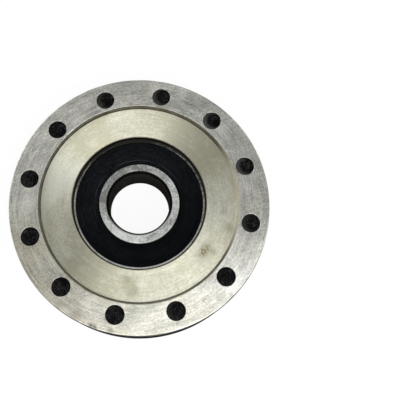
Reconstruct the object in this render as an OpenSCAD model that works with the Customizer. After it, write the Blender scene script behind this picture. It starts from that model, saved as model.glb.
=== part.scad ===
// A V groove wheel lying on its flat side: a steel core with two flanges, a black tyre moulded
// between them and keyed into their holes, and a sealed ball bearing held by a retaining ring.
// Millimetres, wheel axis along Z, origin at the middle of the axle bore.

/* [Wheel] */
// Diameter over the tyre's two lands
tread_d = 85; // [83:0.5:100]
// Width over the two flanges
wheel_w = 21; // [20:0.2:26]
// Thickness of each flange
flange_t = 1.55; // [1.2:0.05:2]
// How far the flange rims sit below the tyre's lands
rim_drop = 0.2; // [0.05:0.05:0.6]
// Rounding of the flange rims' outer edges
rim_round = 0.4; // [0.1:0.05:0.6]
// Thickness of the tyre from the core's barrel to the lands
tyre_t = 8.9; // [8:0.1:9.5]

/* [Faces] */
// Width of the flat ring on each flange, outside the sunk inner face
flange_band = 9.5; // [8.8:0.1:11]
// Depth of the sunk inner face
recess_depth = 1.3; // [0.8:0.1:1.4]
// Width of the sunk face's sloping wall
recess_slope = 0.5; // [0.1:0.1:0.8]
// Wall of the flush boss around the retaining ring's groove
boss_wall = 2.4; // [1.6:0.1:4]

/* [Keying holes] */
// Number of holes in each flange
hole_count = 12; // [6:1:16]
// Diameter of each hole and of the tyre's plug in it
hole_d = 6; // [4:0.1:6.4]
// Distance from the flange's rim in to the holes' centres
hole_inset = 5.6; // [4.4:0.1:5.7]
// Angle of the first hole
hole_phase = 18.5; // [0:0.5:29.5]
// How far the plugs stop below the flange faces
plug_drop = 0.4; // [0.1:0.1:1]
// How far the holes and the plugs reach inside the flanges
plug_root = 0.8; // [0.4:0.1:1.5]

/* [V groove] */
// Depth of the groove below the lands
groove_depth = 4; // [2:0.1:5.5]
// Width of the groove's flat floor
groove_floor_w = 8; // [4:0.2:8.6]
// Angle between the groove's two walls
groove_angle = 80; // [50:2:86]
// Rounding where the walls meet the lands
land_round = 0.5; // [0.1:0.1:0.8]
// Rounding where the walls meet the floor
floor_round = 0.8; // [0.1:0.1:2]
// Rounding of the lands' outer corners
land_edge_round = 0.25; // [0.05:0.05:0.5]

/* [Bearing rings] */
// Bore that the axle fits
bore_d = 20; // [17:0.5:20.5]
// Outside diameter of the bearing, and its seat's
bearing_d = 47; // [46:0.5:49]
// Width of both rings
bearing_w = 14; // [13.4:0.2:15]
// Bevel on the rings' corners at the axle and at the seat
ring_bevel = 0.75; // [0.3:0.05:1]
// Bevel on the inner ring's edge beside the seal
land_bevel = 0.25; // [0.1:0.05:0.5]
// Wall of the inner ring under the seal lip
lip_wall = 3.4; // [2.8:0.1:3.8]
// Wall of the outer ring around the seal
seal_wall = 2.5; // [2.2:0.1:3]
// How far the core's lip covers the outer ring
lip_cover = 1.5; // [0.8:0.1:2]
// Bevel on the edges of the core's lip and of its bearing seat
seat_bevel = 0.3; // [0.1:0.05:0.6]

/* [Balls and cage] */
// Number of balls
ball_count = 8; // [6:1:8]
// Diameter of a ball
ball_d = 7.938; // [7.4:0.1:8.2]
// Running gap between a ball and each raceway
race_gap = 0.05; // [0.02:0.01:0.1]
// Radius of a raceway's curve over the ball's own
race_conform = 1.04; // [1.03:0.01:1.1]
// Depth of the raceways below the rings' shoulders
race_depth = 1.5; // [1:0.1:1.8]
// Thickness of the cage's sheet
cage_t = 0.7; // [0.4:0.05:0.9]
// Width of the cage's ribbon
cage_w = 3.2; // [2.8:0.1:3.8]
// Gap between a ball and its pocket
pocket_gap = 0.1; // [0.05:0.05:0.2]
// Shank diameter of the cage's rivets
rivet_d = 1.5; // [1:0.1:1.6]
// Diameter of the rivet heads
rivet_head_d = 2.5; // [1.9:0.1:2.7]
// Height of the rivet heads
rivet_head_h = 0.5; // [0.3:0.05:0.8]

/* [Seals] */
// Depth of the seats in the outer ring
seal_seat_depth = 2.2; // [1.9:0.1:2.4]
// How far the seals' faces sit below the rings
seal_sink = 0.25; // [0.1:0.05:0.4]
// Thickness of the seals' discs
seal_t = 1; // [0.6:0.05:1.2]
// Width of the lower band around a seal's rim
band_w = 1.5; // [0.8:0.1:2]
// How far that band sits below the disc
band_drop = 0.4; // [0.1:0.05:0.6]
// Width of the foot that stands on the seat
foot_w = 1.1; // [0.6:0.1:1.4]
// How far the foot snaps under the outer ring's edge
snap = 0.35; // [0.1:0.05:0.6]
// Height of the snapped foot
snap_h = 0.9; // [0.6:0.1:1.2]
// Rounding of the rubber's edges
seal_round = 0.15; // [0.05:0.05:0.2]
// Width of the thin lip around the inner ring
lip_w = 1.1; // [0.6:0.1:1.6]
// How far the lip sits below the disc
lip_drop = 0.45; // [0.1:0.05:0.6]
// Gap between the lip and the inner ring
lip_gap = 0.2; // [0.1:0.05:0.4]

/* [Retaining ring] */
// Thickness of the ring
clip_t = 1.75; // [1.5:0.05:2]
// Depth of its groove below the bearing seat
clip_depth = 1.25; // [0.8:0.05:1.4]
// Play of the ring in the width of its groove
clip_play = 0.1; // [0.05:0.05:0.3]
// Width of the band opposite the gap
clip_w = 4; // [3:0.1:4.4]
// Width of the band beside the lugs
clip_end_w = 2.6; // [2.2:0.1:3]
// Diameter of the round lugs
lug_d = 5; // [4:0.1:5.6]
// Diameter of the holes for the pliers
lug_hole_d = 2.5; // [1.5:0.1:2.8]
// Gap between the lugs
clip_gap = 9; // [4:0.5:14]
// How far the lugs sit in from the band's outer edge
lug_inset = 0.3; // [0.1:0.1:0.8]

/* [Hidden] */
$fn = 120;
ARC_STEPS = 6;                      // straight steps in each rounded corner
CUT = 1;                            // how far a cutter runs past the face it opens

half_w = wheel_w / 2;
web_half = half_w - flange_t;       // inner faces of the flanges, and the tyre's sides
face_z = half_w - recess_depth;     // height of the sunk faces
rim_r = tread_d / 2 - rim_drop;
barrel_r = tread_d / 2 - tyre_t;
recess_r = rim_r - flange_band;
hole_r = rim_r - hole_inset;        // circle through the keying holes
hole_z = web_half - plug_root;      // inner end of the holes and of the plugs
seat_r = bearing_d / 2;
ring_z = bearing_w / 2;             // height of the bearing rings' faces
lip_hole_r = seat_r - lip_cover;
clip_r = seat_r + clip_depth;
clip_z = ring_z + clip_t;           // outer face of the retaining ring
boss_r = clip_r + boss_wall;

pitch_r = (bore_d + bearing_d) / 4; // balls run half way between bore and seat
ball_r = ball_d / 2;
race_r = ball_r * race_conform;
ball_step = 360 / ball_count;
shoulder_in = pitch_r - ball_r + race_depth;
shoulder_out = pitch_r + ball_r - race_depth;
land_r = bore_d / 2 + lip_wall;     // inner ring under the seal lip
seal_r = seat_r - seal_wall;        // outer ring around the seal
shelf_z = ring_z - seal_seat_depth; // seat that a seal's foot stands on
pocket_r = ball_r + pocket_gap;

// Points of the arc that rounds corner b of the path a, b, c
function arc_corner(a, b, c, radius) =
    let (
        u = (a - b) / norm(a - b),
        w = (c - b) / norm(c - b),
        half = acos(u * w) / 2,
        centre = b + (u + w) / norm(u + w) * radius / sin(half),
        first = b + u * radius / tan(half) - centre,
        last = b + w * radius / tan(half) - centre,
        start = atan2(first.y, first.x),
        raw = atan2(last.y, last.x) - start,
        sweep = raw > 180 ? raw - 360 : raw < -180 ? raw + 360 : raw
    )
    [for (i = [0:ARC_STEPS]) let (t = start + sweep * i / ARC_STEPS)
        centre + radius * [cos(t), sin(t)]];

// A closed outline from corners [x, y, radius]: a radius of 0 keeps the corner sharp
function rounded(corners) =
    let (n = len(corners))
    [for (i = [0:n - 1])
        let (
            a = corners[(i + n - 1) % n],
            b = corners[i],
            c = corners[(i + 1) % n]
        )
        each b[2] > 0
            ? arc_corner([a.x, a.y], [b.x, b.y], [c.x, c.y], b[2])
            : [[b.x, b.y]]];

// A solid of revolution from corners [radius from the axis, height, rounding]
module turned(corners) {
    rotate_extrude() polygon(rounded(corners));
}

// Its children, once on each side of the wheel
module both_sides() {
    children();
    mirror([0, 0, 1]) children();
}

module at_holes() {
    for (k = [0:hole_count - 1])
        rotate(hole_phase + k * 360 / hole_count)
            translate([hole_r, 0, 0])
                children();
}

module at_balls() {
    for (k = [0:ball_count - 1])
        rotate(k * ball_step)
            translate([pitch_r, 0, 0])
                children();
}

// Core in section, from the lip around the front opening out to the rim and back along the rear
core_outline = [
    [lip_hole_r, ring_z, 0],
    [lip_hole_r, face_z - seat_bevel, 0],
    [lip_hole_r + seat_bevel, face_z, 0],
    [recess_r - recess_slope, face_z, 0],
    [recess_r, half_w, 0],
    [rim_r, half_w, rim_round],
    [rim_r, web_half, 0],
    [barrel_r, web_half, 0],
    [barrel_r, -web_half, 0],
    [rim_r, -web_half, 0],
    [rim_r, -half_w, rim_round],
    [recess_r, -half_w, 0],
    [recess_r - recess_slope, -face_z, 0],
    [boss_r + recess_slope, -face_z, 0],
    [boss_r, -half_w, 0],
    [seat_r + seat_bevel, -half_w, 0],
    [seat_r, -half_w + seat_bevel, 0],
    [seat_r, -clip_z - clip_play, 0],
    [clip_r, -clip_z - clip_play, 0],
    [clip_r, -ring_z, 0],
    [seat_r, -ring_z, 0],
    [seat_r, ring_z, 0],
];

module wheel_core() {
    color("silver")
    difference() {
        turned(core_outline);
        both_sides()
            at_holes()
                translate([0, 0, hole_z]) cylinder(h = half_w - hole_z + CUT, d = hole_d);
    }
}

// Tyre in section: side, land and groove wall, then the same mirrored
module tyre() {
    floor_r = tread_d / 2 - groove_depth;
    open_half = groove_floor_w / 2 + groove_depth * tan(groove_angle / 2);
    color([0.09, 0.09, 0.1])
    union() {
        turned([
            [barrel_r, web_half, 0],
            [barrel_r, -web_half, 0],
            [tread_d / 2, -web_half, land_edge_round],
            [tread_d / 2, -open_half, land_round],
            [floor_r, -groove_floor_w / 2, floor_round],
            [floor_r, groove_floor_w / 2, floor_round],
            [tread_d / 2, open_half, land_round],
            [tread_d / 2, web_half, land_edge_round],
        ]);
        both_sides()
            at_holes()
                translate([0, 0, hole_z]) cylinder(h = half_w - hole_z - plug_drop, d = hole_d);
    }
}

// Half of the outer ring's outline, from its raceway shoulder up to its bevelled corner
ring_out_half = [
    [shoulder_out, shelf_z, 0],
    [seal_r + snap, shelf_z, 0],
    [seal_r + snap, shelf_z + snap_h, 0],
    [seal_r, shelf_z + snap_h + snap, 0],
    [seal_r, ring_z, 0],
    [seat_r - ring_bevel, ring_z, 0],
    [seat_r, ring_z - ring_bevel, 0],
];

// The same for the inner ring, with a land for the seal's lip
ring_in_half = [
    [bore_d / 2, ring_z - ring_bevel, 0],
    [bore_d / 2 + ring_bevel, ring_z, 0],
    [land_r - land_bevel, ring_z, 0],
    [land_r, ring_z - land_bevel, 0],
    [land_r, shelf_z, 0],
    [shoulder_in, shelf_z, 0],
];

// An outline closed by its own mirror image below the middle plane
function with_mirror(corners) = concat(
    corners,
    [for (i = [len(corners) - 1:-1:0]) [corners[i].x, -corners[i].y, corners[i][2]]]
);

// A ring of revolution with a raceway cut around the curve centre at race_x
module raced_ring(half, race_x) {
    rotate_extrude()
    difference() {
        polygon(rounded(with_mirror(half)));
        translate([race_x, 0]) circle(r = race_r);
    }
}

module bearing_outer_ring() {
    color("gainsboro")
    raced_ring(ring_out_half, pitch_r + ball_r + race_gap - race_r);
}

module bearing_inner_ring() {
    color("gainsboro")
    raced_ring(ring_in_half, pitch_r - ball_r - race_gap + race_r);
}

module ball(k) {
    color("lightsteelblue")
    rotate((k - 1) * ball_step)
        translate([pitch_r, 0, 0])
            sphere(d = ball_d);
}

// One pressed half of the cage: a flat ribbon with a dome over each ball
module cage_half() {
    dome_r = pocket_r + cage_t;
    color("lightgray")
    difference() {
        intersection() {
            union() {
                cylinder(h = cage_t, r = pitch_r + dome_r);
                at_balls() sphere(r = dome_r);
            }
            rotate_extrude() translate([pitch_r - cage_w / 2, 0]) square([cage_w, dome_r + CUT]);
        }
        at_balls() sphere(r = pocket_r);
        rotate(ball_step / 2)
            at_balls() translate([0, 0, -CUT]) cylinder(h = cage_t + 2 * CUT, d = rivet_d);
    }
}

module cage_rivets() {
    color("lightgray")
    rotate(ball_step / 2)
        at_balls() {
            translate([0, 0, -cage_t]) cylinder(h = 2 * cage_t, d = rivet_d);
            both_sides()
                translate([0, 0, cage_t])
                    cylinder(h = rivet_head_h, d1 = rivet_head_d, d2 = rivet_d);
        }
}

// A seal in section: foot in the outer ring's seat, lower rim band, disc, then the thin lip
module seal() {
    disc_z = ring_z - seal_sink;
    under_z = disc_z - seal_t;
    lip_r = land_r + lip_gap;
    color([0.07, 0.07, 0.08])
    turned([
        [seal_r - foot_w, under_z, 0],
        [seal_r - foot_w, shelf_z, 0],
        [seal_r + snap, shelf_z, 0],
        [seal_r + snap, shelf_z + snap_h, 0],
        [seal_r, shelf_z + snap_h + snap, 0],
        [seal_r, disc_z - band_drop, seal_round],
        [seal_r - band_w, disc_z - band_drop, seal_round],
        [seal_r - band_w, disc_z, seal_round],
        [lip_r + lip_w, disc_z, seal_round],
        [lip_r + lip_w, disc_z - lip_drop, seal_round],
        [lip_r, disc_z - lip_drop, seal_round],
        [lip_r, under_z, seal_round],
    ]);
}

// The ring's gap faces +Y, its band tapers from opposite the gap to the lugs
module retaining_ring() {
    lug_r = clip_r - lug_d / 2 - lug_inset;
    lug_angle = asin((clip_gap + lug_d) / 2 / lug_r);
    color("dimgray")
    translate([0, 0, -clip_z])
    linear_extrude(clip_t)
    difference() {
        union() {
            difference() {
                circle(r = clip_r);
                translate([0, (clip_w - clip_end_w) / 2]) circle(r = clip_r - (clip_w + clip_end_w) / 2);
                translate([-clip_gap / 2, 0]) square([clip_gap, clip_r + CUT]);
            }
            for (s = [-1, 1]) rotate(s * lug_angle) translate([0, lug_r]) circle(d = lug_d);
        }
        for (s = [-1, 1]) rotate(s * lug_angle) translate([0, lug_r]) circle(d = lug_hole_d);
    }
}

wheel_core();
tyre();
bearing_outer_ring();
bearing_inner_ring();
for (k = [1:ball_count])
    ball(k);
cage_half();  // cage_front
mirror([0, 0, 1]) cage_half();  // cage_back
cage_rivets();
seal();  // seal_front
mirror([0, 0, 1]) seal();  // seal_back
retaining_ring();
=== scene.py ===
"""Looks of a V groove wheel that lies on its flat side.

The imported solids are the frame. The core, the tyre, the bearing rings, the seals and the
retaining ring are rebuilt here as finer surfaces, and the rolling parts keep their solids.
Sizes are in millimetres and become metres where a mesh is made. The wheel's axis is Z.
"""

from __future__ import annotations

import logging
import math
from collections.abc import Mapping, Sequence
from dataclasses import dataclass, field
from enum import Enum

import bmesh
import bpy
import numpy as np
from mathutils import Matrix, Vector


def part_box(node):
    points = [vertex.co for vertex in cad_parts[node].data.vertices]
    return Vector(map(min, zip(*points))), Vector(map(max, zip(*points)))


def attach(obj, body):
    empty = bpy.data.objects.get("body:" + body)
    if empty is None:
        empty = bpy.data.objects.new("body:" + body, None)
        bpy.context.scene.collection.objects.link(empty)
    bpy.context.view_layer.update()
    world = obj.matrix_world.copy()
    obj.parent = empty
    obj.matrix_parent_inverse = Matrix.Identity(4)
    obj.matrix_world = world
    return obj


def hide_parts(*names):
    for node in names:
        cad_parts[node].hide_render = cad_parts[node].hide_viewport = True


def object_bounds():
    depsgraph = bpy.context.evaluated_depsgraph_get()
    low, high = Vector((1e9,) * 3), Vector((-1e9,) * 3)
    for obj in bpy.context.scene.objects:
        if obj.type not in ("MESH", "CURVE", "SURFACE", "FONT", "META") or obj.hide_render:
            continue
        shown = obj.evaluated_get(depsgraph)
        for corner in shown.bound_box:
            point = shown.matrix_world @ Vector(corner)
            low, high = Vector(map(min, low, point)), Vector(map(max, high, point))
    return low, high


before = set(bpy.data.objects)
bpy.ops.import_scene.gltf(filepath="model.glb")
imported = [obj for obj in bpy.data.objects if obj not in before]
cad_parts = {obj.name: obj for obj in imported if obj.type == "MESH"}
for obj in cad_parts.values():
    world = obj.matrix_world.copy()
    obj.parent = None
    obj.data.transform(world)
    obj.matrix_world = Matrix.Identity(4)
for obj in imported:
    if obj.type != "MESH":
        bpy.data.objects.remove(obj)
SOLID_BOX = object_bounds()

log = logging.getLogger("wheel")

Array = np.ndarray
Corner = tuple[float, float, float]  # distance from the axis, height, radius of its rounding
Colour = tuple[float, float, float]
Lobe = tuple[float, float, float]  # turn and half width in degrees, amount
Stain = tuple[float, float, float, float]  # x, y, size, strength

MM = 0.001  # metres in a millimetre
TINY = 1e-6  # millimetres under which a stretch of an outline has no length
SEAM = 2e-6  # metres under which two points of a seam become one

AXIS_GAP = 0.5  # least distance from the axis that a finish divides by
NOISE_MEAN = 0.5  # level about which every noise swings
STROKE_WAY = (0.94, 0.34)  # cosine and sine of the turn along which crossed strokes run
STROKE_LENGTH = 9.0  # length of a crossed stroke
SCRATCH_SLANT = 0.4  # slope of the slanted scratches
GRAIN_SCALE = 1.7  # lumps of the steel's fine grain in a millimetre
PIT_LEVEL, PIT_FADE = 0.735, 0.065  # level of the noise over which a pit starts, and its edge
PIT_COVER = 0.7  # share of a pit's own colour in it
WARM = (1.0, 0.95, 0.80)  # tint of old oil on steel
WARM_CLOUD = 17.0  # size of the clouds of that tint
DIRT_FADE = 0.8  # width over which specks of dirt set in
SMEAR = (0.005, 0.005, 0.005)  # black of the tyre smeared on steel
OPEN_TOP = 1.0  # height over a piece that puts a step's upper corner out of its reach

NICK_SEED, CHIP_SEED, PLUG_SEED = 7, 21, 5


# ---------------------------------------------------------------- surfaces


def corner_arc(before: Array, point: Array, after: Array, radius: float, steps: int) -> Array:
    """Rounds one corner with an arc that touches both of its sides.

    Its centre lies on the corner's bisector, radius / sin(half the corner's angle) away, and it
    starts and ends radius / tan(half the angle) along the sides.

    Args:
        before: The corner before.
        point: The corner.
        after: The corner after.
        radius: Radius of the arc.
        steps: Straight steps in it.

    Returns:
        The arc's points.
    """
    to_a, to_b = before - point, after - point
    to_a, to_b = to_a / np.linalg.norm(to_a), to_b / np.linalg.norm(to_b)
    half = math.acos(float(np.clip(to_a @ to_b, -1, 1))) / 2
    middle = (to_a + to_b) / np.linalg.norm(to_a + to_b)
    centre = point + middle * radius / math.sin(half)
    first = point + to_a * radius / math.tan(half) - centre
    last = point + to_b * radius / math.tan(half) - centre
    start = math.atan2(first[1], first[0])
    sweep = (math.atan2(last[1], last[0]) - start + math.pi) % (2 * math.pi) - math.pi
    turn = start + sweep * np.linspace(0, 1, steps + 1)
    return centre + radius * np.stack([np.cos(turn), np.sin(turn)], axis=1)


def rounded_path(corners: Sequence[Corner], closed: bool = False, steps: int = 5,
                 guard: float = 0.12, longest: float = 3.0) -> Array:
    """Turns corners into a smooth outline.

    Each corner with a radius becomes an arc. Straight stretches get points close to their ends,
    which keep flat faces flat under smooth shading.

    Args:
        corners: The outline's corners.
        closed: Whether the last corner is followed by the first.
        steps: Straight steps in each arc.
        guard: Distance of the extra points from the ends of a straight stretch.
        longest: Longest stretch left undivided.

    Returns:
        The outline's points (distance from the axis, height), one row each.
    """
    flat = np.array([c[:2] for c in corners], float)
    count = len(flat)
    ends: list[Array] = []
    for k, (point, corner) in enumerate(zip(flat, corners)):
        if corner[2] > 0 and (closed or 0 < k < count - 1):
            before, after = flat[(k - 1) % count], flat[(k + 1) % count]
            ends.append(corner_arc(before, point, after, corner[2], steps))
        else:
            ends.append(point[None])
    path: list[Array] = []
    for k, piece in enumerate(ends):
        path.append(piece)
        if k == count - 1 and not closed:
            break
        start, end = piece[-1], ends[(k + 1) % count][0]
        length = float(np.linalg.norm(end - start))
        if length < TINY:
            continue
        stops = [guard, length - guard] if length > 3 * guard else []
        if length > longest:
            stops += list(np.linspace(0, length, math.ceil(length / longest) + 1)[1:-1])
        share = np.sort(np.array(stops, float))[:, None] / length
        path.append(start + share * (end - start))
    return np.concatenate(path)


def turned(path: Array, angles: Array, lift: Array | None = None) -> Array:
    """Carries an outline around the axis: x = r cos a, y = r sin a, z = height.

    Args:
        path: Outline points (distance from the axis, height).
        angles: Angles of the copies, in radians.
        lift: Change of the distance from the axis, one row for each angle.

    Returns:
        Points indexed by angle, then by place along the outline.
    """
    radius = path[None, :, 0] + (0 if lift is None else lift)
    radius = np.broadcast_to(radius, (len(angles), len(path)))
    height = np.broadcast_to(path[None, :, 1], radius.shape)
    turn = angles[:, None]
    return np.stack([radius * np.cos(turn), radius * np.sin(turn), height], axis=2)


def bites(angles: Array, centres: Array, depths: Array, widths: Array) -> Array:
    """Small dents around the axis: the sum of depth exp(-(turn / width)^2) over the dents.

    Args:
        angles: Angles where the dents are worked out, in radians.
        centres: Angle of each dent.
        depths: Depth of each dent.
        widths: Half width of each dent, in radians.

    Returns:
        The depth at each angle.
    """
    apart = (angles[:, None] - centres[None] + math.pi) % (2 * math.pi) - math.pi
    return (depths * np.exp(-((apart / widths) ** 2))).sum(axis=1)


def linked(name: str, data: bpy.types.ID) -> bpy.types.Object:
    """Makes an object at the origin and adds it to the scene.

    Args:
        name: Its name.
        data: Its mesh, lamp or camera.

    Returns:
        The object.
    """
    made = bpy.data.objects.new(name, data)
    bpy.context.scene.collection.objects.link(made)
    return made


class Shell:
    """Collects grids of points and closes them into one piece."""

    def __init__(self, name: str) -> None:
        """Starts an empty shell.

        Args:
            name: Name of the piece.
        """
        self.name = name
        self.points: list[Array] = []
        self.faces: list[Array] = []
        self.slots: list[Array] = []
        self.plug_sheens: list[Array] = []
        self.total = 0

    def _take(self, points: Array, faces: Array, slot: int, plug_sheen: Array | None = None) -> None:
        """Adds a patch.

        Args:
            points: Its points, in millimetres.
            faces: The points of each face, counted from the patch's first.
            slot: Material slot of its faces.
            plug_sheen: Share of the painted reflection on the plugs at each point, or none.
        """
        self.points.append(points.reshape(-1, 3) * MM)
        self.plug_sheens.append(np.zeros(len(self.points[-1])) if plug_sheen is None else plug_sheen.ravel())
        self.faces.append(faces + self.total)
        self.slots.append(np.full(len(faces), slot))
        self.total += len(self.points[-1])

    def grid(self, points: Array, slot: int = 0, round_u: bool = False, round_v: bool = False,
             plug_sheen: Array | None = None) -> None:
        """Adds a grid of four-sided faces.

        Args:
            points: Points indexed by both parameters.
            slot: Material slot of its faces.
            round_u: Whether the first parameter runs round to its start.
            round_v: Whether the second does.
            plug_sheen: Share of the painted reflection on the plugs at each point, or none.
        """
        rows, columns = points.shape[:2]
        index = np.arange(rows * columns).reshape(rows, columns)
        index = np.concatenate([index, index[:1]]) if round_u else index
        index = np.concatenate([index, index[:, :1]], axis=1) if round_v else index
        faces = np.stack([index[:-1, :-1], index[1:, :-1], index[1:, 1:], index[:-1, 1:]], axis=2)
        self._take(points, faces.reshape(-1, 4), slot, plug_sheen)

    def fan(self, ring: Array, tip: Array, slot: int = 0) -> None:
        """Closes a ring of points with three-sided faces that meet at its tip.

        Args:
            ring: The ring's points.
            tip: The point where the faces meet.
            slot: Material slot of the faces.
        """
        index = np.arange(len(ring))
        faces = np.stack([index, np.roll(index, -1), np.full(len(ring), len(ring))], axis=1)
        self._take(np.concatenate([ring, tip[None]]), faces, slot)

    def _mesh(self) -> bpy.types.Mesh:
        """Puts all patches into a new mesh.

        Returns:
            The mesh, with its seams still open.
        """
        mesh = bpy.data.meshes.new(self.name)
        sides = np.concatenate([np.full(len(f), f.shape[1]) for f in self.faces])
        corners = np.concatenate([f.ravel() for f in self.faces])
        mesh.vertices.add(self.total)
        mesh.vertices.foreach_set("co", np.concatenate(self.points).ravel().astype(np.float32))
        mesh.loops.add(len(corners))
        mesh.loops.foreach_set("vertex_index", corners.astype(np.int32))
        mesh.polygons.add(len(sides))
        mesh.polygons.foreach_set("loop_start", (np.cumsum(sides) - sides).astype(np.int32))
        mesh.polygons.foreach_set("material_index", np.concatenate(self.slots).astype(np.int32))
        mesh.update(calc_edges=True)
        plug_sheens = np.concatenate(self.plug_sheens)
        if plug_sheens.any():
            layer = mesh.attributes.new("plug_sheen", "FLOAT", "POINT")
            layer.data.foreach_set("value", plug_sheens.astype(np.float32))
        return mesh

    def build(self, materials: Sequence[bpy.types.Material]) -> bpy.types.Object:
        """Makes the piece, joins its seams and turns its faces outwards.

        Args:
            materials: Materials in the order of the slots.

        Returns:
            The piece, at the origin.
        """
        mesh = self._mesh()
        for material in materials:
            mesh.materials.append(material)
        work = bmesh.new()
        work.from_mesh(mesh)
        bmesh.ops.remove_doubles(work, verts=work.verts, dist=SEAM)
        bmesh.ops.recalc_face_normals(work, faces=work.faces)
        work.to_mesh(mesh)
        work.free()
        mesh.shade_smooth()
        return linked(self.name, mesh)


# ---------------------------------------------------------------- finishes


class Wire:
    """A number that flows between nodes. Arithmetic on wires adds Math nodes."""

    def __init__(self, nodes: Nodes, socket: bpy.types.NodeSocket | None) -> None:
        """Wraps an output socket of the given node maker, or none after an output node."""
        self.nodes = nodes
        self.socket = socket

    def math(self, operation: str, *values: Wire | float) -> Wire:
        """Adds one Math node with the operation's name and its values in order."""
        sockets = dict(enumerate(values))
        return self.nodes.add("ShaderNodeMath", {"operation": operation}, sockets)

    def __add__(self, other: Wire | float) -> Wire:
        """self + other"""
        return self.math("ADD", self, other)

    def __radd__(self, other: float) -> Wire:
        """other + self"""
        return self.math("ADD", other, self)

    def __sub__(self, other: Wire | float) -> Wire:
        """self - other"""
        return self.math("SUBTRACT", self, other)

    def __rsub__(self, other: float) -> Wire:
        """other - self"""
        return self.math("SUBTRACT", other, self)

    def __mul__(self, other: Wire | float) -> Wire:
        """self * other"""
        return self.math("MULTIPLY", self, other)

    def __rmul__(self, other: float) -> Wire:
        """other * self"""
        return self.math("MULTIPLY", other, self)

    def __truediv__(self, other: Wire | float) -> Wire:
        """self / other"""
        return self.math("DIVIDE", self, other)

    def __abs__(self) -> Wire:
        """The size of self without its sign."""
        return self.math("ABSOLUTE", self)

    def root(self) -> Wire:
        """The square root of self."""
        return self.math("SQRT", self)

    def least(self, other: Wire | float) -> Wire:
        """The smaller of the two."""
        return self.math("MINIMUM", self, other)

    def most(self, other: Wire | float) -> Wire:
        """The larger of the two."""
        return self.math("MAXIMUM", self, other)

    def rise(self, low: float, high: float) -> Wire:
        """Smooth step: 0 up to low, 1 from high on."""
        return self.nodes.add("ShaderNodeMapRange", {"interpolation_type": "SMOOTHSTEP"},
                              {"Value": self, "From Min": low, "From Max": high})

    def fall(self, low: float, high: float) -> Wire:
        """Smooth step down: 1 up to low, 0 from high on."""
        return 1 - self.rise(low, high)

    def swing(self, amount: float) -> Wire:
        """Turns a noise about its mean into one about 0: (self - mean) * amount."""
        return (self - NOISE_MEAN) * amount


class Laid(Enum):
    """How one colour is laid on another."""

    OVER = "MIX"
    TIMES = "MULTIPLY"


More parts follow.
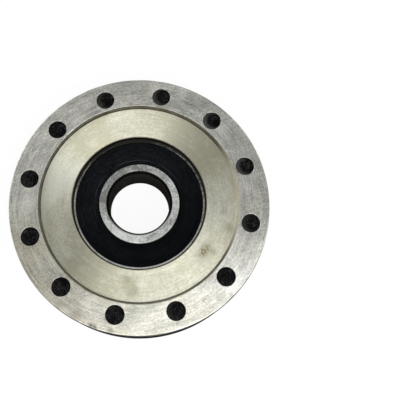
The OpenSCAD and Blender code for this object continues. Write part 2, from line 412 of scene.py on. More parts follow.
class Nodes:
    """Makes the nodes of one material."""

    def __init__(self, owner: bpy.types.Material | bpy.types.World) -> None:
        """Starts with an empty node tree.

        Args:
            owner: The material or world whose nodes are made.
        """
        owner.use_nodes = True
        self.owner = owner
        self.tree = owner.node_tree
        self.tree.nodes.clear()

    @classmethod
    def named(cls, name: str) -> Nodes:
        """Starts a new material with the finish's name."""
        return cls(bpy.data.materials.new(name))

    def add(self, kind: str, settings: Mapping[str, object] | None = None,
            sockets: Mapping[str | int, object] | None = None, out: str | int = 0) -> Wire:
        """Adds a node.

        Args:
            kind: The node's type.
            settings: Its settings, set before anything else.
            sockets: Values or wires of its inputs, by name, identifier or number.
            out: The output to return, by name or number.

        Returns:
            The chosen output.
        """
        node = self.tree.nodes.new(kind)
        for key, value in (settings or {}).items():
            setattr(node, key, value)
        for key, value in (sockets or {}).items():
            named = [s for s in node.inputs if s.identifier == key]
            socket = named[0] if named else node.inputs[key]
            if isinstance(value, Wire):
                self.tree.links.new(value.socket, socket)
            else:
                socket.default_value = value
        return Wire(self, node.outputs[out] if node.outputs else None)

    def spot(self) -> Spot:
        """Finds the point's own place on the piece.

        The distance from the axis is the root of x^2 + y^2, and the cosine and sine of the
        turn are x and y over it.

        Returns:
            The point, in millimetres.
        """
        point = self.add("ShaderNodeTexCoord", out="Object")
        large = self.add("ShaderNodeVectorMath", {"operation": "SCALE"},
                         {0: point, "Scale": 1 / MM})
        x, y, z = (self.add("ShaderNodeSeparateXYZ", sockets={0: large}, out=a) for a in "XYZ")
        radius = (x * x + y * y).root().most(AXIS_GAP)
        return Spot(self, x, y, z, radius, x / radius, y / radius)

    def noise(self, x: Wire | float, y: Wire | float, z: Wire | float, detail: float = 2.0,
              rough: float = 0.5) -> Wire:
        """Noise at a point whose axes are already scaled, about 0.5 on average.

        Args:
            x: First axis.
            y: Second axis.
            z: Third axis.
            detail: How many finer noises are added.
            rough: Strength of each of them against the one before.

        Returns:
            The noise.
        """
        point = self.add("ShaderNodeCombineXYZ", sockets={"X": x, "Y": y, "Z": z})
        return self.add("ShaderNodeTexNoise", sockets={
            "Vector": point, "Scale": 1.0, "Detail": detail, "Roughness": rough})

    def scratches(self, x: Wire | float, y: Wire | float, z: Wire | float,
                  share: float = 0.52) -> Wire:
        """Thin lines where a soft noise passes its mean, kept where a broad noise is high.

        Args:
            x: First axis, already scaled, slow along the lines and fast across them.
            y: Second axis.
            z: Third axis.
            share: Level of the broad noise over which lines are kept.

        Returns:
            1 on the lines and 0 elsewhere.
        """
        half_width, patch, patch_shift, patch_fade = 0.035, 0.31, 7.3, 0.1
        line = abs(self.noise(x, y, z, detail=1) - NOISE_MEAN).fall(0.0, half_width)
        broad = self.noise(x * patch + patch_shift, y * patch, z * patch, detail=1)
        return line * broad.rise(share, share + patch_fade)

    def blend(self, share: Wire | float, low: Wire | Colour, high: Wire | Colour,
              laid: Laid = Laid.OVER) -> Wire:
        """Colour from low to high as the share goes from 0 to 1.

        Args:
            share: The share of the second colour.
            low: The first colour.
            high: The second colour.
            laid: How the second is laid on the first.

        Returns:
            The colour.
        """
        ends = [v if isinstance(v, Wire) else (*v, 1.0) for v in (low, high)]
        settings = {"data_type": "RGBA", "blend_type": laid.value, "clamp_factor": True}
        return self.add("ShaderNodeMix", settings, {
            "Factor_Float": share, "A_Color": ends[0], "B_Color": ends[1]}, out=2)

    def bump(self, height: Wire, depth: float) -> Wire:
        """A normal from a height, whose whole range is the depth in millimetres."""
        return self.add("ShaderNodeBump", sockets={
            "Height": height, "Distance": depth * MM, "Strength": 1.0})

    def surface(self, sockets: Mapping[str, object]) -> bpy.types.Material:
        """Ends the material with a Principled shader.

        Args:
            sockets: Values or wires of the shader's inputs.

        Returns:
            The finished material.
        """
        shader = self.add("ShaderNodeBsdfPrincipled", sockets=sockets)
        self.add("ShaderNodeOutputMaterial", sockets={"Surface": shader})
        return self.owner


@dataclass(frozen=True)
class Spot:
    """The point that a finish describes, in millimetres, and its way round the axis.

    Attributes:
        nodes: The node maker of the material.
        x: The point's own x on the piece.
        y: Its y.
        z: Its height.
        radius: Its distance from the axis.
        across: Cosine of its turn round the axis.
        along: Sine of its turn.
    """

    nodes: Nodes
    x: Wire
    y: Wire
    z: Wire
    radius: Wire
    across: Wire
    along: Wire

    def noise(self, flat: float, tall: float | None = None, shift: float = 0.0,
              detail: float = 2.0, rough: float = 0.5) -> Wire:
        """Noise in space: noise(x flat, y flat, z tall + shift).

        Args:
            flat: Lumps in a millimetre along x and y.
            tall: Lumps in a millimetre along z, which is the same where it isn't given.
            shift: Moves the noise, so that it differs from another of the same size.
            detail: How many finer noises are added.
            rough: Strength of each of them against the one before.

        Returns:
            The noise.
        """
        height = self.z * (flat if tall is None else tall) + shift
        return self.nodes.noise(self.x * flat, self.y * flat, height, detail, rough)

    def swirl(self, turns: float, depth: Wire, detail: float = 2.0, rough: float = 0.5) -> Wire:
        """Noise drawn out round the axis: noise(turns cosine, turns sine, depth).

        Args:
            turns: How fast it changes with the turn.
            depth: The axis across the streaks, already scaled.
            detail: How many finer noises are added.
            rough: Strength of each of them against the one before.

        Returns:
            The noise.
        """
        return self.nodes.noise(self.across * turns, self.along * turns, depth, detail, rough)

    def towards(self, turn: float) -> Wire:
        """Cosine of the angle between the point's way from the axis and a turn in degrees."""
        way = math.radians(turn)
        return self.across * math.cos(way) + self.along * math.sin(way)

    def around(self, painted_light_bands: Sequence[Lobe]) -> Wire | float:
        """Sum of soft bumps round the axis, used for painted reflection and painted shade: amount
        times a smooth step of the turn's cosine.

        Args:
            painted_light_bands: Turn of each bump's middle and its half width, in degrees, and its
                amount.

        Returns:
            The sum at the point.
        """
        total: Wire | float = 0.0
        for turn, width, amount in painted_light_bands:
            total = self.towards(turn).rise(math.cos(math.radians(width)), 1.0) * amount + total
        return total


class Lay(Enum):
    """Main direction of the marks that a tool left on a metal face."""

    ROUND = "round"
    CROSSED = "crossed"


@dataclass(frozen=True)
class MachinedSteel:
    """Bare machined steel with tool marks, clouded tone, fine pits and stains, with painted
    reflection and painted shade round the axis where a lean or bands are given.

    Lengths are in millimetres, turns in degrees and colours linear.

    Attributes:
        name: Name of the material.
        dark: Colour where the tone is 0.
        light: Colour where the tone is 1.
        lay: Main direction of the tool marks.
        metal: Metallic value.
        specular: Specular level.
        roughness: Roughness on average.
        anisotropy: How far the gloss is drawn out across the marks.
        mark_pitch: Distance from mark to mark.
        mark_depth: Depth of the relief.
        mark_tone: How much the marks change the tone.
        grain_tone: How much the fine grain changes it.
        cloud_size: Size of the clouds.
        cloud_tone: How much the clouds change the tone.
        pit_size: Size of the pits and of the spaces between them.
        pit_share: How common pits are, from about -0.1 for none.
        pit_colour: Colour of the pits and of specks of dirt.
        scratch_tone: How much scratches change the tone.
        warm: Strength of the warm tint.
        warm_side: Turn that the warm tint favours, or none.
        lean: Turn towards which a painted reflection makes the metal paler, and how much paler.
        painted_light_bands: Bands of turns where painted reflection makes the metal paler (positive
            amount) and painted shade makes it darker (negative amount).
        dirt_from: Distance from the axis from which specks of dirt lie, or 0.
        smear_below: Height under which the side is smeared black, or 0.
        stains: Place (x, y), size and strength of each stain on the upper face.
        stain_colour: Colour of the stains.
    """

    name: str
    dark: Colour
    light: Colour
    lay: Lay = Lay.ROUND
    metal: float = 1.0
    specular: float = 0.5
    roughness: float = 0.36
    anisotropy: float = 0.0
    mark_pitch: float = 1.6
    mark_depth: float = 0.006
    mark_tone: float = 1.0
    grain_tone: float = 0.8
    cloud_size: float = 9.0
    cloud_tone: float = 0.8
    pit_size: float = 0.8
    pit_share: float = 0.06
    pit_colour: Colour = (0.10, 0.095, 0.08)
    scratch_tone: float = 0.0
    warm: float = 0.0
    warm_side: float | None = None
    lean: tuple[float, float] = (0.0, 0.0)
    painted_light_bands: tuple[Lobe, ...] = ()
    dirt_from: float = 0.0
    smear_below: float = 0.0
    stains: tuple[Stain, ...] = ()
    stain_colour: Colour = (0.30, 0.25, 0.14)

    def marks(self, spot: Spot, depth: Wire) -> Wire:
        """Tool marks, about 0.5 on average.

        Marks round the axis are noise that changes fast with the depth and slowly with the turn,
        at two pitches. Crossed marks add straight strokes along a slanted direction.

        Args:
            spot: The point.
            depth: Its distance from the axis and height together, in pitches.

        Returns:
            The marks.
        """
        finer, shift = 2.7, 11
        broad = spot.swirl(2.6, depth, detail=4, rough=0.7)
        narrow = spot.swirl(4.0, depth * finer + shift, detail=3, rough=0.8)
        rings = broad * 0.5 + narrow * 0.5
        if self.lay is Lay.ROUND:
            return rings
        (cosine, sine), share, per_pitch = STROKE_WAY, 0.2, 1.6
        slant = spot.y * cosine - spot.x * sine
        run = (spot.x * cosine + spot.y * sine) / STROKE_LENGTH
        strokes = spot.nodes.noise(run, slant * (per_pitch / self.mark_pitch),
                                   spot.z * 0.4 + 3, detail=3, rough=0.75)
        return rings * (1 - share) + strokes * share

    def scratched(self, spot: Spot, depth: Wire) -> Wire:
        """Change of tone by thin scratches: pale ones less dark ones.

        Pale and dark scratches run round the axis, and more pale ones at a slant.

        Args:
            spot: The point.
            depth: Its distance from the axis and height together, in pitches.

        Returns:
            The change of tone.
        """
        n, x, y = spot.nodes, spot.x, spot.y
        slanted_tone, dark_tone, length, per_pitch = 0.7, 1.2, 6, 0.9
        pale = n.scratches(spot.across * 5, spot.along * 5, depth * 1.4 + 5)
        dark = n.scratches(spot.across * 6, spot.along * 6, depth * 1.2 + 31, 0.54)
        slant = (y - x * SCRATCH_SLANT) * (per_pitch / self.mark_pitch)
        slanted = n.scratches((x + y * SCRATCH_SLANT) / length, slant, 3.0, 0.55)
        return (pale + slanted * slanted_tone - dark * dark_tone) * self.scratch_tone

    def tinted(self, spot: Spot, colour: Wire) -> Wire:
        """Multiplies the colour by a warm tint in broad clouds.

        Where the tint favours a side, it is full towards it and weak away from it.

        Args:
            spot: The point.
            colour: The steel's colour.

        Returns:
            The tinted colour.
        """
        size, shift_x, shift_y = WARM_CLOUD, 3.1, -1.7
        broad = spot.nodes.noise(spot.x / size + shift_x, spot.y / size + shift_y, spot.z / size)
        share = broad.rise(0.36, 0.62)
        if self.warm_side is not None:
            even, away = 0.4, 0.15
            near = spot.towards(self.warm_side).rise(0.3, 0.95)
            share = (share * (1 - even) + even) * (near * (1 - away) + away)
        return spot.nodes.blend(share * self.warm, colour, WARM, Laid.TIMES)

    def soiled(self, spot: Spot, colour: Wire, cloud: Wire, fine: Wire) -> Wire:
        """Lays specks of dirt, black smears and stains on the colour.

        Specks lie beyond a distance from the axis, smears under a ragged height, and each stain
        fades with the distance from its place, which the clouds make uneven.

        Args:
            spot: The point.
            colour: The steel's colour.
            cloud: The broad noise.
            fine: The fine noise.

        Returns:
            The soiled colour.
        """
        n = spot.nodes
        if self.dirt_from:
            speck_size, cover = 1.3, 0.85
            edge = spot.radius.rise(self.dirt_from, self.dirt_from + DIRT_FADE)
            specks = spot.noise(1 / speck_size, shift=2, detail=3, rough=0.7).rise(0.56, 0.68)
            share = edge * specks * cloud.rise(0.45, 0.6) * cover
            colour = n.blend(share, colour, self.pit_colour)
        if self.smear_below:
            width, height, drift, edge_fade = 2.4, 5, 2.2, 0.12
            ragged = spot.noise(1 / width, tall=1 / height, detail=4, rough=0.8)
            over = abs(spot.z) - self.smear_below - (ragged - 0.49) * drift
            colour = n.blend(over.fall(0.0, edge_fade), colour, SMEAR)
        total: Wire | float = 0.0
        uneven = 1.6
        for at_x, at_y, size, amount in self.stains:
            aside, ahead = spot.x - at_x, spot.y - at_y
            apart = (aside * aside + ahead * ahead).root() + cloud.swing(size * uneven)
            blot = apart.fall(0.0, size) * fine.rise(0.3, 0.62) * spot.z.rise(0.0, 1.0)
            total = blot * amount + total
        return n.blend(total, colour, self.stain_colour) if self.stains else colour

    def make(self) -> bpy.types.Material:
        """Builds the material: a tone between two colours, then tint, soil, gloss and relief.

        The tone is 0.5 plus the swing of the marks, the clouds and the fine grain. A painted
        reflection makes it paler towards the lean's turn, by its cosine, and painted light and
        shade change it in the bands.

        Returns:
            The finished material.
        """
        n = Nodes.named(self.name)
        spot = n.spot()
        depth = (spot.radius + spot.z) / self.mark_pitch
        marks = self.marks(spot, depth)
        cloud = spot.noise(1 / self.cloud_size, detail=4, rough=0.6)
        fine = spot.noise(GRAIN_SCALE, detail=4, rough=0.75)
        level = PIT_LEVEL - self.pit_share
        pits = spot.noise(1 / self.pit_size, shift=5, detail=1).rise(level, level + PIT_FADE)
        pits = pits * fine.rise(0.42, 0.6)
        tone = (marks.swing(self.mark_tone) + cloud.swing(self.cloud_tone)
                + fine.swing(self.grain_tone) + 0.5)
        # painted reflection: paler towards the lean's turn
        if self.lean[1]:
            tone = tone + spot.towards(self.lean[0]) * self.lean[1]
        # painted reflection and painted shade in bands round the axis
        if self.painted_light_bands:
            tone = tone + spot.around(self.painted_light_bands)
        if self.scratch_tone:
            tone = tone + self.scratched(spot, depth)
        colour = n.blend(tone, self.dark, self.light)
        colour = n.blend(pits * PIT_COVER, colour, self.pit_colour)
        if self.warm:
            colour = self.tinted(spot, colour)
        colour = self.soiled(spot, colour, cloud, fine)
        rough = cloud.swing(0.16) + fine.swing(0.10) + pits * 0.2 + self.roughness
        return n.surface({
            "Base Color": colour, "Metallic": self.metal, "Roughness": rough.most(0.05),
            "Specular IOR Level": self.specular,
            "Anisotropic": self.anisotropy, "Anisotropic Rotation": 0.25,
            "Normal": n.bump(marks + fine * 0.3 - pits * 0.8, self.mark_depth)})


@dataclass(frozen=True)
class GrimeAndShadeStep:
    """Steel wall or bevel darkened all round by dirt and painted shade, and left bare on one side
    of the wheel as painted light.

    Attributes:
        name: Name of the material.
        top: Height of the corner over it, in millimetres.
        foot: Height of the corner under it.
        bare: Colour of the steel.
        shade_and_grime: Colour of the dirt and the painted shade.
        rubbed: Turn of the side left bare as painted light, in degrees.
        lit_from: Cosine of the turn from that side where the painted light starts.
        lit_share: How much of the darkening the painted light takes off in its middle.
        cover: Share of dirt and painted shade elsewhere.
        corner: How much more painted shade lies in both corners.
    """

    name: str
    top: float
    foot: float
    bare: Colour = (0.56, 0.53, 0.42)
    shade_and_grime: Colour = (0.040, 0.036, 0.025)
    rubbed: float = 3.0
    lit_from: float = 0.80
    lit_share: float = 0.64
    cover: float = 0.79
    corner: float = 0.16

    def make(self) -> bpy.types.Material:
        """Builds the material.

        The darkening falls away as painted light where the cosine of the turn from the rubbed side
        is near 1;
        it is clouded, a little denser towards +Y and thickest along the foot and the top corner, as
        painted shade.

        Returns:
            The finished material.
        """
        n = Nodes.named(self.name)
        spot = n.spot()
        cloud_width, cloud_height, line_scale = 3.5, 2, 3
        foot_fade, top_fade, top_gap, top_shade, shade_upward = 0.4, 0.28, 0.05, 0.8, 0.06
        cloud = spot.noise(1 / cloud_width, tall=1 / cloud_height, detail=3, rough=0.6)
        lines = spot.swirl(4, (spot.z + spot.radius) * line_scale, detail=3)
        # painted shade, thickest in both corners
        at_foot = spot.z.fall(self.foot, self.foot + foot_fade)
        at_top = spot.z.rise(self.top - top_fade, self.top - top_gap) * top_shade
        # painted light: the darkening is taken off towards the rubbed side
        rubbed = spot.towards(self.rubbed).rise(self.lit_from, 1.0) * self.lit_share
        # dirt clouds and lines, plus painted shade a little denser towards +Y
        share = (self.cover - rubbed + cloud.swing(0.35) + lines.swing(0.3)
                 + spot.along * shade_upward + (at_foot + at_top) * self.corner)
        return n.surface({
            "Base Color": n.blend(share, self.bare, self.shade_and_grime), "Metallic": 0.6,
            "Roughness": cloud.swing(0.2) + 0.42, "Specular IOR Level": 0.10,
            "Normal": n.bump(lines + cloud, 0.01)})


@dataclass(frozen=True)
class MouldedTyre:
    """Black moulded tyre: glossy lands, worn groove floor, matt walls and rough plugs.

    Attributes:
        name: Name of the material.
        deep: Colour of the unworn tyre.
        worn: Colour of the groove's worn floor.
        land: Colour of the lands.
        plug: Colour of the plugs.
        pale_sheen_and_scuff: Colour of the painted reflection and of the pale scratches and specks
            on them.
        land_radius: Distance from the axis from which a point is on a land, in millimetres.
        floor_radius: Distance from the axis up to which it is on the floor.
        plug_height: Height over the middle from which it is on a plug.
    """

    name: str
    deep: Colour = (0.0024, 0.0025, 0.0030)
    worn: Colour = (0.019, 0.0195, 0.022)
    land: Colour = (0.0042, 0.0046, 0.0060)
    plug: Colour = (0.0008, 0.0008, 0.0009)
    pale_sheen_and_scuff: Colour = (0.055, 0.055, 0.054)
    land_radius: float = 42.1
    floor_radius: float = 38.9
    plug_height: float = 9.3

    def make(self) -> bpy.types.Material:
        """Builds the material from the distance to the axis and the height.

        The floor is worn in rings round the axis. The piece's own "plug_sheen" value gives the
        share of a painted reflection on the plugs, and fine scratches cross them.

        Returns:
            The finished material.
        """
        n = Nodes.named(self.name)
        spot = n.spot()
        x, y, z, high = spot.x, spot.y, spot.z, abs(spot.z)
        ring_scale, grain_scale, cloud_width, cloud_height = 4.5, 2.6, 7, 5
        plug_fade, floor_fade, land_fade, worn_share = 0.4, 0.7, 0.3, 0.42
        rings = spot.swirl(3, z * ring_scale, detail=4, rough=0.65)
        grain = spot.noise(grain_scale, detail=4, rough=0.65)
        cloud = spot.noise(1 / cloud_width, tall=1 / cloud_height, detail=3)
        plugs = high.rise(self.plug_height - plug_fade, self.plug_height)
        rest = 1 - plugs
        floor = spot.radius.fall(self.floor_radius, self.floor_radius + floor_fade) * rest
        land = spot.radius.rise(self.land_radius - land_fade, self.land_radius) * rest
        rubbed = rings.swing(1.3) + cloud.swing(0.8) + worn_share
        rubbed = floor * rubbed * high.fall(2.2, 4.6)
        colour = n.blend(rubbed, self.deep, self.worn)
        colour = n.blend(land * 0.9, colour, self.land)
        plug_sheen = n.add("ShaderNodeAttribute", {"attribute_name": "plug_sheen"}, out="Fac")
        marks = (n.scratches(x * 0.8, y * 1.1, z + 4, 0.40)
                 + n.scratches(x * 1.3 + 9, y * 0.5, z + 2, 0.44)).least(1.0)
        specks = grain.rise(0.55, 0.78)
        # painted reflection: pale crescents on the plugs' slopes, with real scratches and specks
        sheen_and_scuffs = plugs * (plug_sheen * (grain.swing(1.0) + 0.8) + marks * 0.36 + specks * 0.09)
        colour = n.blend(plugs * 0.9, colour, self.plug)
        colour = n.blend(sheen_and_scuffs, colour, self.pale_sheen_and_scuff)
        rough = grain.swing(0.2) + plugs * 0.14 - land * 0.14 - floor * 0.10 + 0.42
        relief = rings * rest * 0.5 + grain * (plugs * 1.6 + 0.25) + marks * plugs
        return n.surface({
            "Base Color": colour, "Roughness": rough, "Specular IOR Level": 0.028,
            "Normal": n.bump(relief, 0.03)})


@dataclass(frozen=True)
class SealRubber:
    """Black rubber with a fine moulded grain, wiped clean in arcs.

    Attributes:
        name: Name of the material.
        deep: Colour where the tone is 0.
        pale: Colour where the tone is 1.
        edge: Colour of the painted highlights on each ridge, of dust and of scratches.
        glint_ridges: Distance from the axis of each ridge with a painted highlight, and how pale it
            is.
    """

    name: str
    deep: Colour = (0.0011, 0.0014, 0.0016)
    pale: Colour = (0.0064, 0.0073, 0.0088)
    edge: Colour = (0.055, 0.062, 0.078)
    glint_ridges: tuple[tuple[float, float], ...] = ((14.72, 0.45), (19.42, 0.28), (16.5, 0.14))

    def make(self) -> bpy.types.Material:
        """Builds the material.

        The tone is the swing of arcs round the axis, clouds and grain, and is paler towards +Y
        and -X as painted light, where dust and scratches show too. Painted highlights lie in thin
        bands along each ridge.

        Returns:
            The finished material.
        """
        n = Nodes.named(self.name)
        spot = n.spot()
        arc_scale, grain_scale, cloud_size, mean_tone = 2.2, 3.0, 6, 0.36
        to_plus_y, to_minus_x, dust_share, stroke_share = 0.46, 0.26, 0.22, 0.10
        arcs = spot.swirl(3.5, spot.radius * arc_scale, detail=4, rough=0.65)
        grain = spot.noise(grain_scale, detail=4, rough=0.75)
        cloud = spot.noise(1 / cloud_size, tall=1, detail=3)
        upper = spot.along * to_plus_y - spot.across * to_minus_x
        # painted light: the tone is paler towards +Y and -X
        tone = arcs.swing(1.2) + cloud.swing(0.8) + grain.swing(4.0) + upper * 0.5 + mean_tone
        colour = n.blend(tone, self.deep, self.pale)
        glint_side, dusty_side = (upper + 0.35).rise(0.0, 0.8), (upper + 0.5).rise(0.0, 0.9)
        # painted highlights in thin bands along each ridge, on the side towards +Y and -X
        for at, amount in self.glint_ridges:
            ridge_glint = abs(spot.radius - at).fall(0.03, 0.16) * cloud.rise(0.40, 0.62) * glint_side
            colour = n.blend(ridge_glint * amount, colour, self.edge)
        dust = spot.noise(1.5, tall=1, shift=7, detail=3, rough=0.8).rise(0.56, 0.74)
        strokes = n.scratches(spot.across * 9, spot.along * 9, spot.radius * 0.7 + 2, 0.42)
        share = (dust * dust_share + strokes * stroke_share) * dusty_side
        colour = n.blend(share, colour, self.edge)
        return n.surface({
            "Base Color": colour, "Roughness": grain.swing(0.3) + cloud.swing(0.2) + 0.46,
            "Specular IOR Level": 0.015, "Normal": n.bump(grain + arcs * 0.5, 0.02)})


# ---------------------------------------------------------------- sub-assemblies


@dataclass
class HoleCells:
    """The ring of equal cells with one round hole each that makes up a drilled flange.

    Attributes:
        count: Number of holes.
        phase: Turn of the first hole, in degrees.
        circle: Distance of the holes' middles from the axis.
        hole: Radius of a hole.
        arc_steps: Steps along an arc of a cell.
        side_steps: Steps along a side of a cell.
    """

    count: int = 12
    phase: float = 18.5
    circle: float = 36.7
    hole: float = 3.0
    arc_steps: int = 30
    side_steps: int = 10

    def angles(self) -> Array:
        """Angles of the points around the whole wheel, shared with the turned surfaces.

        Returns:
            The angles, in radians.
        """
        total = self.count * self.arc_steps
        start = math.radians(self.phase) - math.pi / self.count
        return start + np.arange(total) * (2 * math.pi / total)

    def border(self, inner: float, outer: float, height: float) -> Array:
        """Points round the border of the first cell: inner arc, side, outer arc, side.

        Args:
            inner: Distance of the inner arc from the axis.
            outer: Distance of the outer arc.
            height: Height of the flat face.

        Returns:
            The border's points, which don't repeat the first.
        """
        half, arcs, sides = math.pi / self.count, self.arc_steps, self.side_steps
        arc = np.linspace(-half, half, arcs, endpoint=False)
        side = np.linspace(0, 1, sides, endpoint=False)
        turn = np.concatenate([arc, np.full(sides, half), -arc, np.full(sides, -half)])
        far = np.concatenate([np.full(arcs, inner), inner + side * (outer - inner),
                              np.full(arcs, outer), outer + side * (inner - outer)])
        turn = turn + math.radians(self.phase)
        return np.stack([far * np.cos(turn), far * np.sin(turn), np.full(len(far), height)], axis=1)

    def ring(self, radius: float, height: float, lead: Array) -> Array:
        """Points on a circle round the first hole, evenly spaced, matched to the border's start.

        Args:
            radius: Radius of the circle.
            height: Its height.
            lead: The border whose first point gives the direction of the circle's first.

        Returns:
            One point for each point of the border.
        """
        turn = math.radians(self.phase)
        middle = self.circle * np.array([math.cos(turn), math.sin(turn)])
        to_x, to_y = lead[0, :2] - middle
        around = math.atan2(to_y, to_x) - np.arange(len(lead)) * (2 * math.pi / len(lead))
        flat = middle + radius * np.stack([np.cos(around), np.sin(around)], axis=1)
        return np.concatenate([flat, np.full((len(lead), 1), height)], axis=1)

    def spread(self, border: Array, edge: Array, shares: Array) -> Array:
        """Straight steps between a border and a circle: edge + share (border - edge)."""
        return edge[:, None] + shares[None, :, None] * (border - edge)[:, None]

    def around(self, cell: Array, k: int, under: bool) -> Array:
        """Turns the first cell's points about the axis to another cell.

        Args:
            cell: Points of the first cell.
            k: Number of the other cell.
            under: Whether they are mirrored below the middle plane too.

        Returns:
            The moved points.
        """
        turn = 2 * math.pi * k / self.count
        cos, sin = math.cos(turn), math.sin(turn)
        moved = cell @ np.array([[cos, sin, 0], [-sin, cos, 0], [0, 0, 1]])
        return moved * np.array([1, 1, -1 if under else 1])


class Slot(Enum):
    """Material slots of the core."""

    FACE = 0
    FLANGE = 1
    STEP = 2
    INSIDE = 3
    LIP = 4
    RIM = 5
    BEVEL = 6


@dataclass
class WheelCore:
    """Turned steel core with two drilled flanges, the bearing seat and the ring's groove.

    Attributes:
        rim: Radius of the flanges.
        half: Half of the width over the flanges.
        seat: Radius of the bearing's seat.
        ring_half: Half of the bearing's width.
        clip_low: Height of the retaining ring's lower face.
        clip: Radius of the groove that holds it.
        flange: Thickness of a flange.
        band: Width of the flat ring on a flange.
        sunk: Depth of the inner face.
        slope: How far the wall of that step leans in.
        barrel: Radius of the barrel under the tyre.
        boss_wall: Width of the boss round the groove.
        cover: How far the lip covers the bearing.
        bevel: Size of the broken edges at the hub.
        play: Gap under the retaining ring.
        strip: Width of the plain strip beside an edge.
        boss_strip: Width of the strip beside the boss.
        cells_in: Width of the turned strip between the step and the cells.
        cells_out: Width of the turned strip between the cells and the rim.
        dip: Drop of the face at the lip's edge.
        brink: Half width of the broken edge over the step.
        brink_drop: Depth of that edge.
        fillet: Width that the rounding at the step's foot takes.
        thin: How far the bevel's finish stops short of the lip's wall.
        cells: The drilled cells.
    """

    rim: float = field(default_factory=lambda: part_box("wheel_core")[1].x / MM)
    half: float = field(default_factory=lambda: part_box("wheel_core")[1].z / MM)
    seat: float = field(default_factory=lambda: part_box("bearing_outer_ring")[1].x / MM)
    ring_half: float = field(default_factory=lambda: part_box("bearing_outer_ring")[1].z / MM)
    clip_low: float = field(default_factory=lambda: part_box("retaining_ring")[0].z / MM)
    clip: float = field(default_factory=lambda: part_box("retaining_ring")[1].x / MM)
    flange: float = 1.55
    band: float = 9.5
    sunk: float = 1.3
    slope: float = 0.5
    barrel: float = 33.6
    boss_wall: float = 2.4
    cover: float = 1.5
    bevel: float = 0.3
    play: float = 0.1
    strip: float = 0.3
    boss_strip: float = 0.25
    cells_in: float = 0.2
    cells_out: float = 0.6
    dip: float = 0.01
    brink: float = 0.04
    brink_drop: float = 0.1
    fillet: float = 0.22
    thin: float = 0.05
    cells: HoleCells = field(default_factory=HoleCells)

    def rim_bites(self, angles: Array) -> Array:
        """Depth of the nicks on the rim's outer edge: two large ones and some fine ones.

        Args:
            angles: Angles round the axis, in radians.

        Returns:
            The depth at each angle.
        """
        rng, fine = np.random.default_rng(NICK_SEED), 14
        centres = np.radians(np.concatenate([[250.4, 312.8], rng.uniform(0, 360, fine)]))
        depths = np.concatenate([[0.55, 0.2], rng.uniform(0.02, 0.10, fine)])
        widths = np.radians(np.concatenate([[0.9, 0.6], rng.uniform(0.6, 1.6, fine)]))
        return bites(angles, centres, depths, widths)

    def skin(self, shell: Shell, slot: Slot, corners: Sequence[Corner], sign: int = 1) -> None:
        """Adds one turned stretch of the core.

        Args:
            shell: The shell to add to.
            slot: Its material slot.
            corners: Corners of its outline.
            sign: 1 for the outline as given, -1 to mirror it below the middle plane.
        """
        path = rounded_path([(r, sign * h, c) for r, h, c in corners])
        shell.grid(turned(path, self.cells.angles()), slot.value, round_u=True)

    def rims(self, shell: Shell, outer: float, inner_end: float) -> None:
        """Adds both rims, with nicks in their outer corners.

        A nick's depth fades away from the corner: exp(-(in / reach)^2 - (down / reach)^2).

        Args:
            shell: The shell to add to.
            outer: Where the flat face's cells end.
            inner_end: Where the cells on the flange's inner face end.
        """
        web = self.half - self.flange
        angles = self.cells.angles()
        path = rounded_path([(outer, self.half, 0), (self.rim, self.half, 0.3),
                             (self.rim, web, 0.05), (inner_end, web, 0)], steps=7, longest=0.3)
        face_ends, reach_in, reach_down, under_turn = 0.12, 0.35, 0.45, 1.3
        split = int(np.argmax(path[:, 0] > self.rim - face_ends))
        near = np.exp(-(((path[:, 0] - self.rim) / reach_in) ** 2
                        + ((path[:, 1] - self.half) / reach_down) ** 2))
        near[[0, -1]] = 0
        for sign, turn in ((1, 0.0), (-1, under_turn)):
            lift = -self.rim_bites(angles + turn)[:, None] * near[None]
            rim = turned(path * [1, sign], angles, lift)
            shell.grid(rim[:, :split + 1], Slot.FLANGE.value, round_u=True)
            shell.grid(rim[:, split:], Slot.RIM.value, round_u=True)

    def drilled(self, shell: Shell, inner: float, outer: float, inner_end: float) -> None:
        """Adds the drilled cells of both flanges, through each hole from face to face.

        Args:
            shell: The shell to add to.
            inner: Where the cells of the flat face start.
            outer: Where they end.
            inner_end: Where the cells on the flange's inner face end.
        """
        cells, hole, half, web = self.cells, self.cells.hole, self.half, self.half - self.flange
        face = cells.border(inner, outer, half)
        back = cells.border(self.barrel, inner_end, web)
        edge = hole + 0.16
        shares = np.array([1, 0.7, 0.4, 0.16, 0.04, 0])
        flat = cells.spread(face, cells.ring(edge, half, face), shares)
        lip = rounded_path([(edge, half, 0), (hole + 0.1, half, 0.05), (hole, half - 0.12, 0.05),
                            (hole, web + 0.2, 0)], steps=2, guard=0.05)
        wall = np.stack([cells.ring(r, h, face) for r, h in lip], axis=1)
        rear = cells.spread(back, cells.ring(hole, web, back), np.array([0, 0.5, 1]))
        root = np.stack([wall[:, -1], rear[:, 0]], axis=1)
        patches = ((flat, Slot.FLANGE), (wall, Slot.FLANGE), (root, Slot.INSIDE),
                   (rear, Slot.INSIDE))
        for k in range(cells.count):
            for under in (False, True):
                for patch, slot in patches:
                    shell.grid(cells.around(patch, k, under), slot.value, round_u=True)

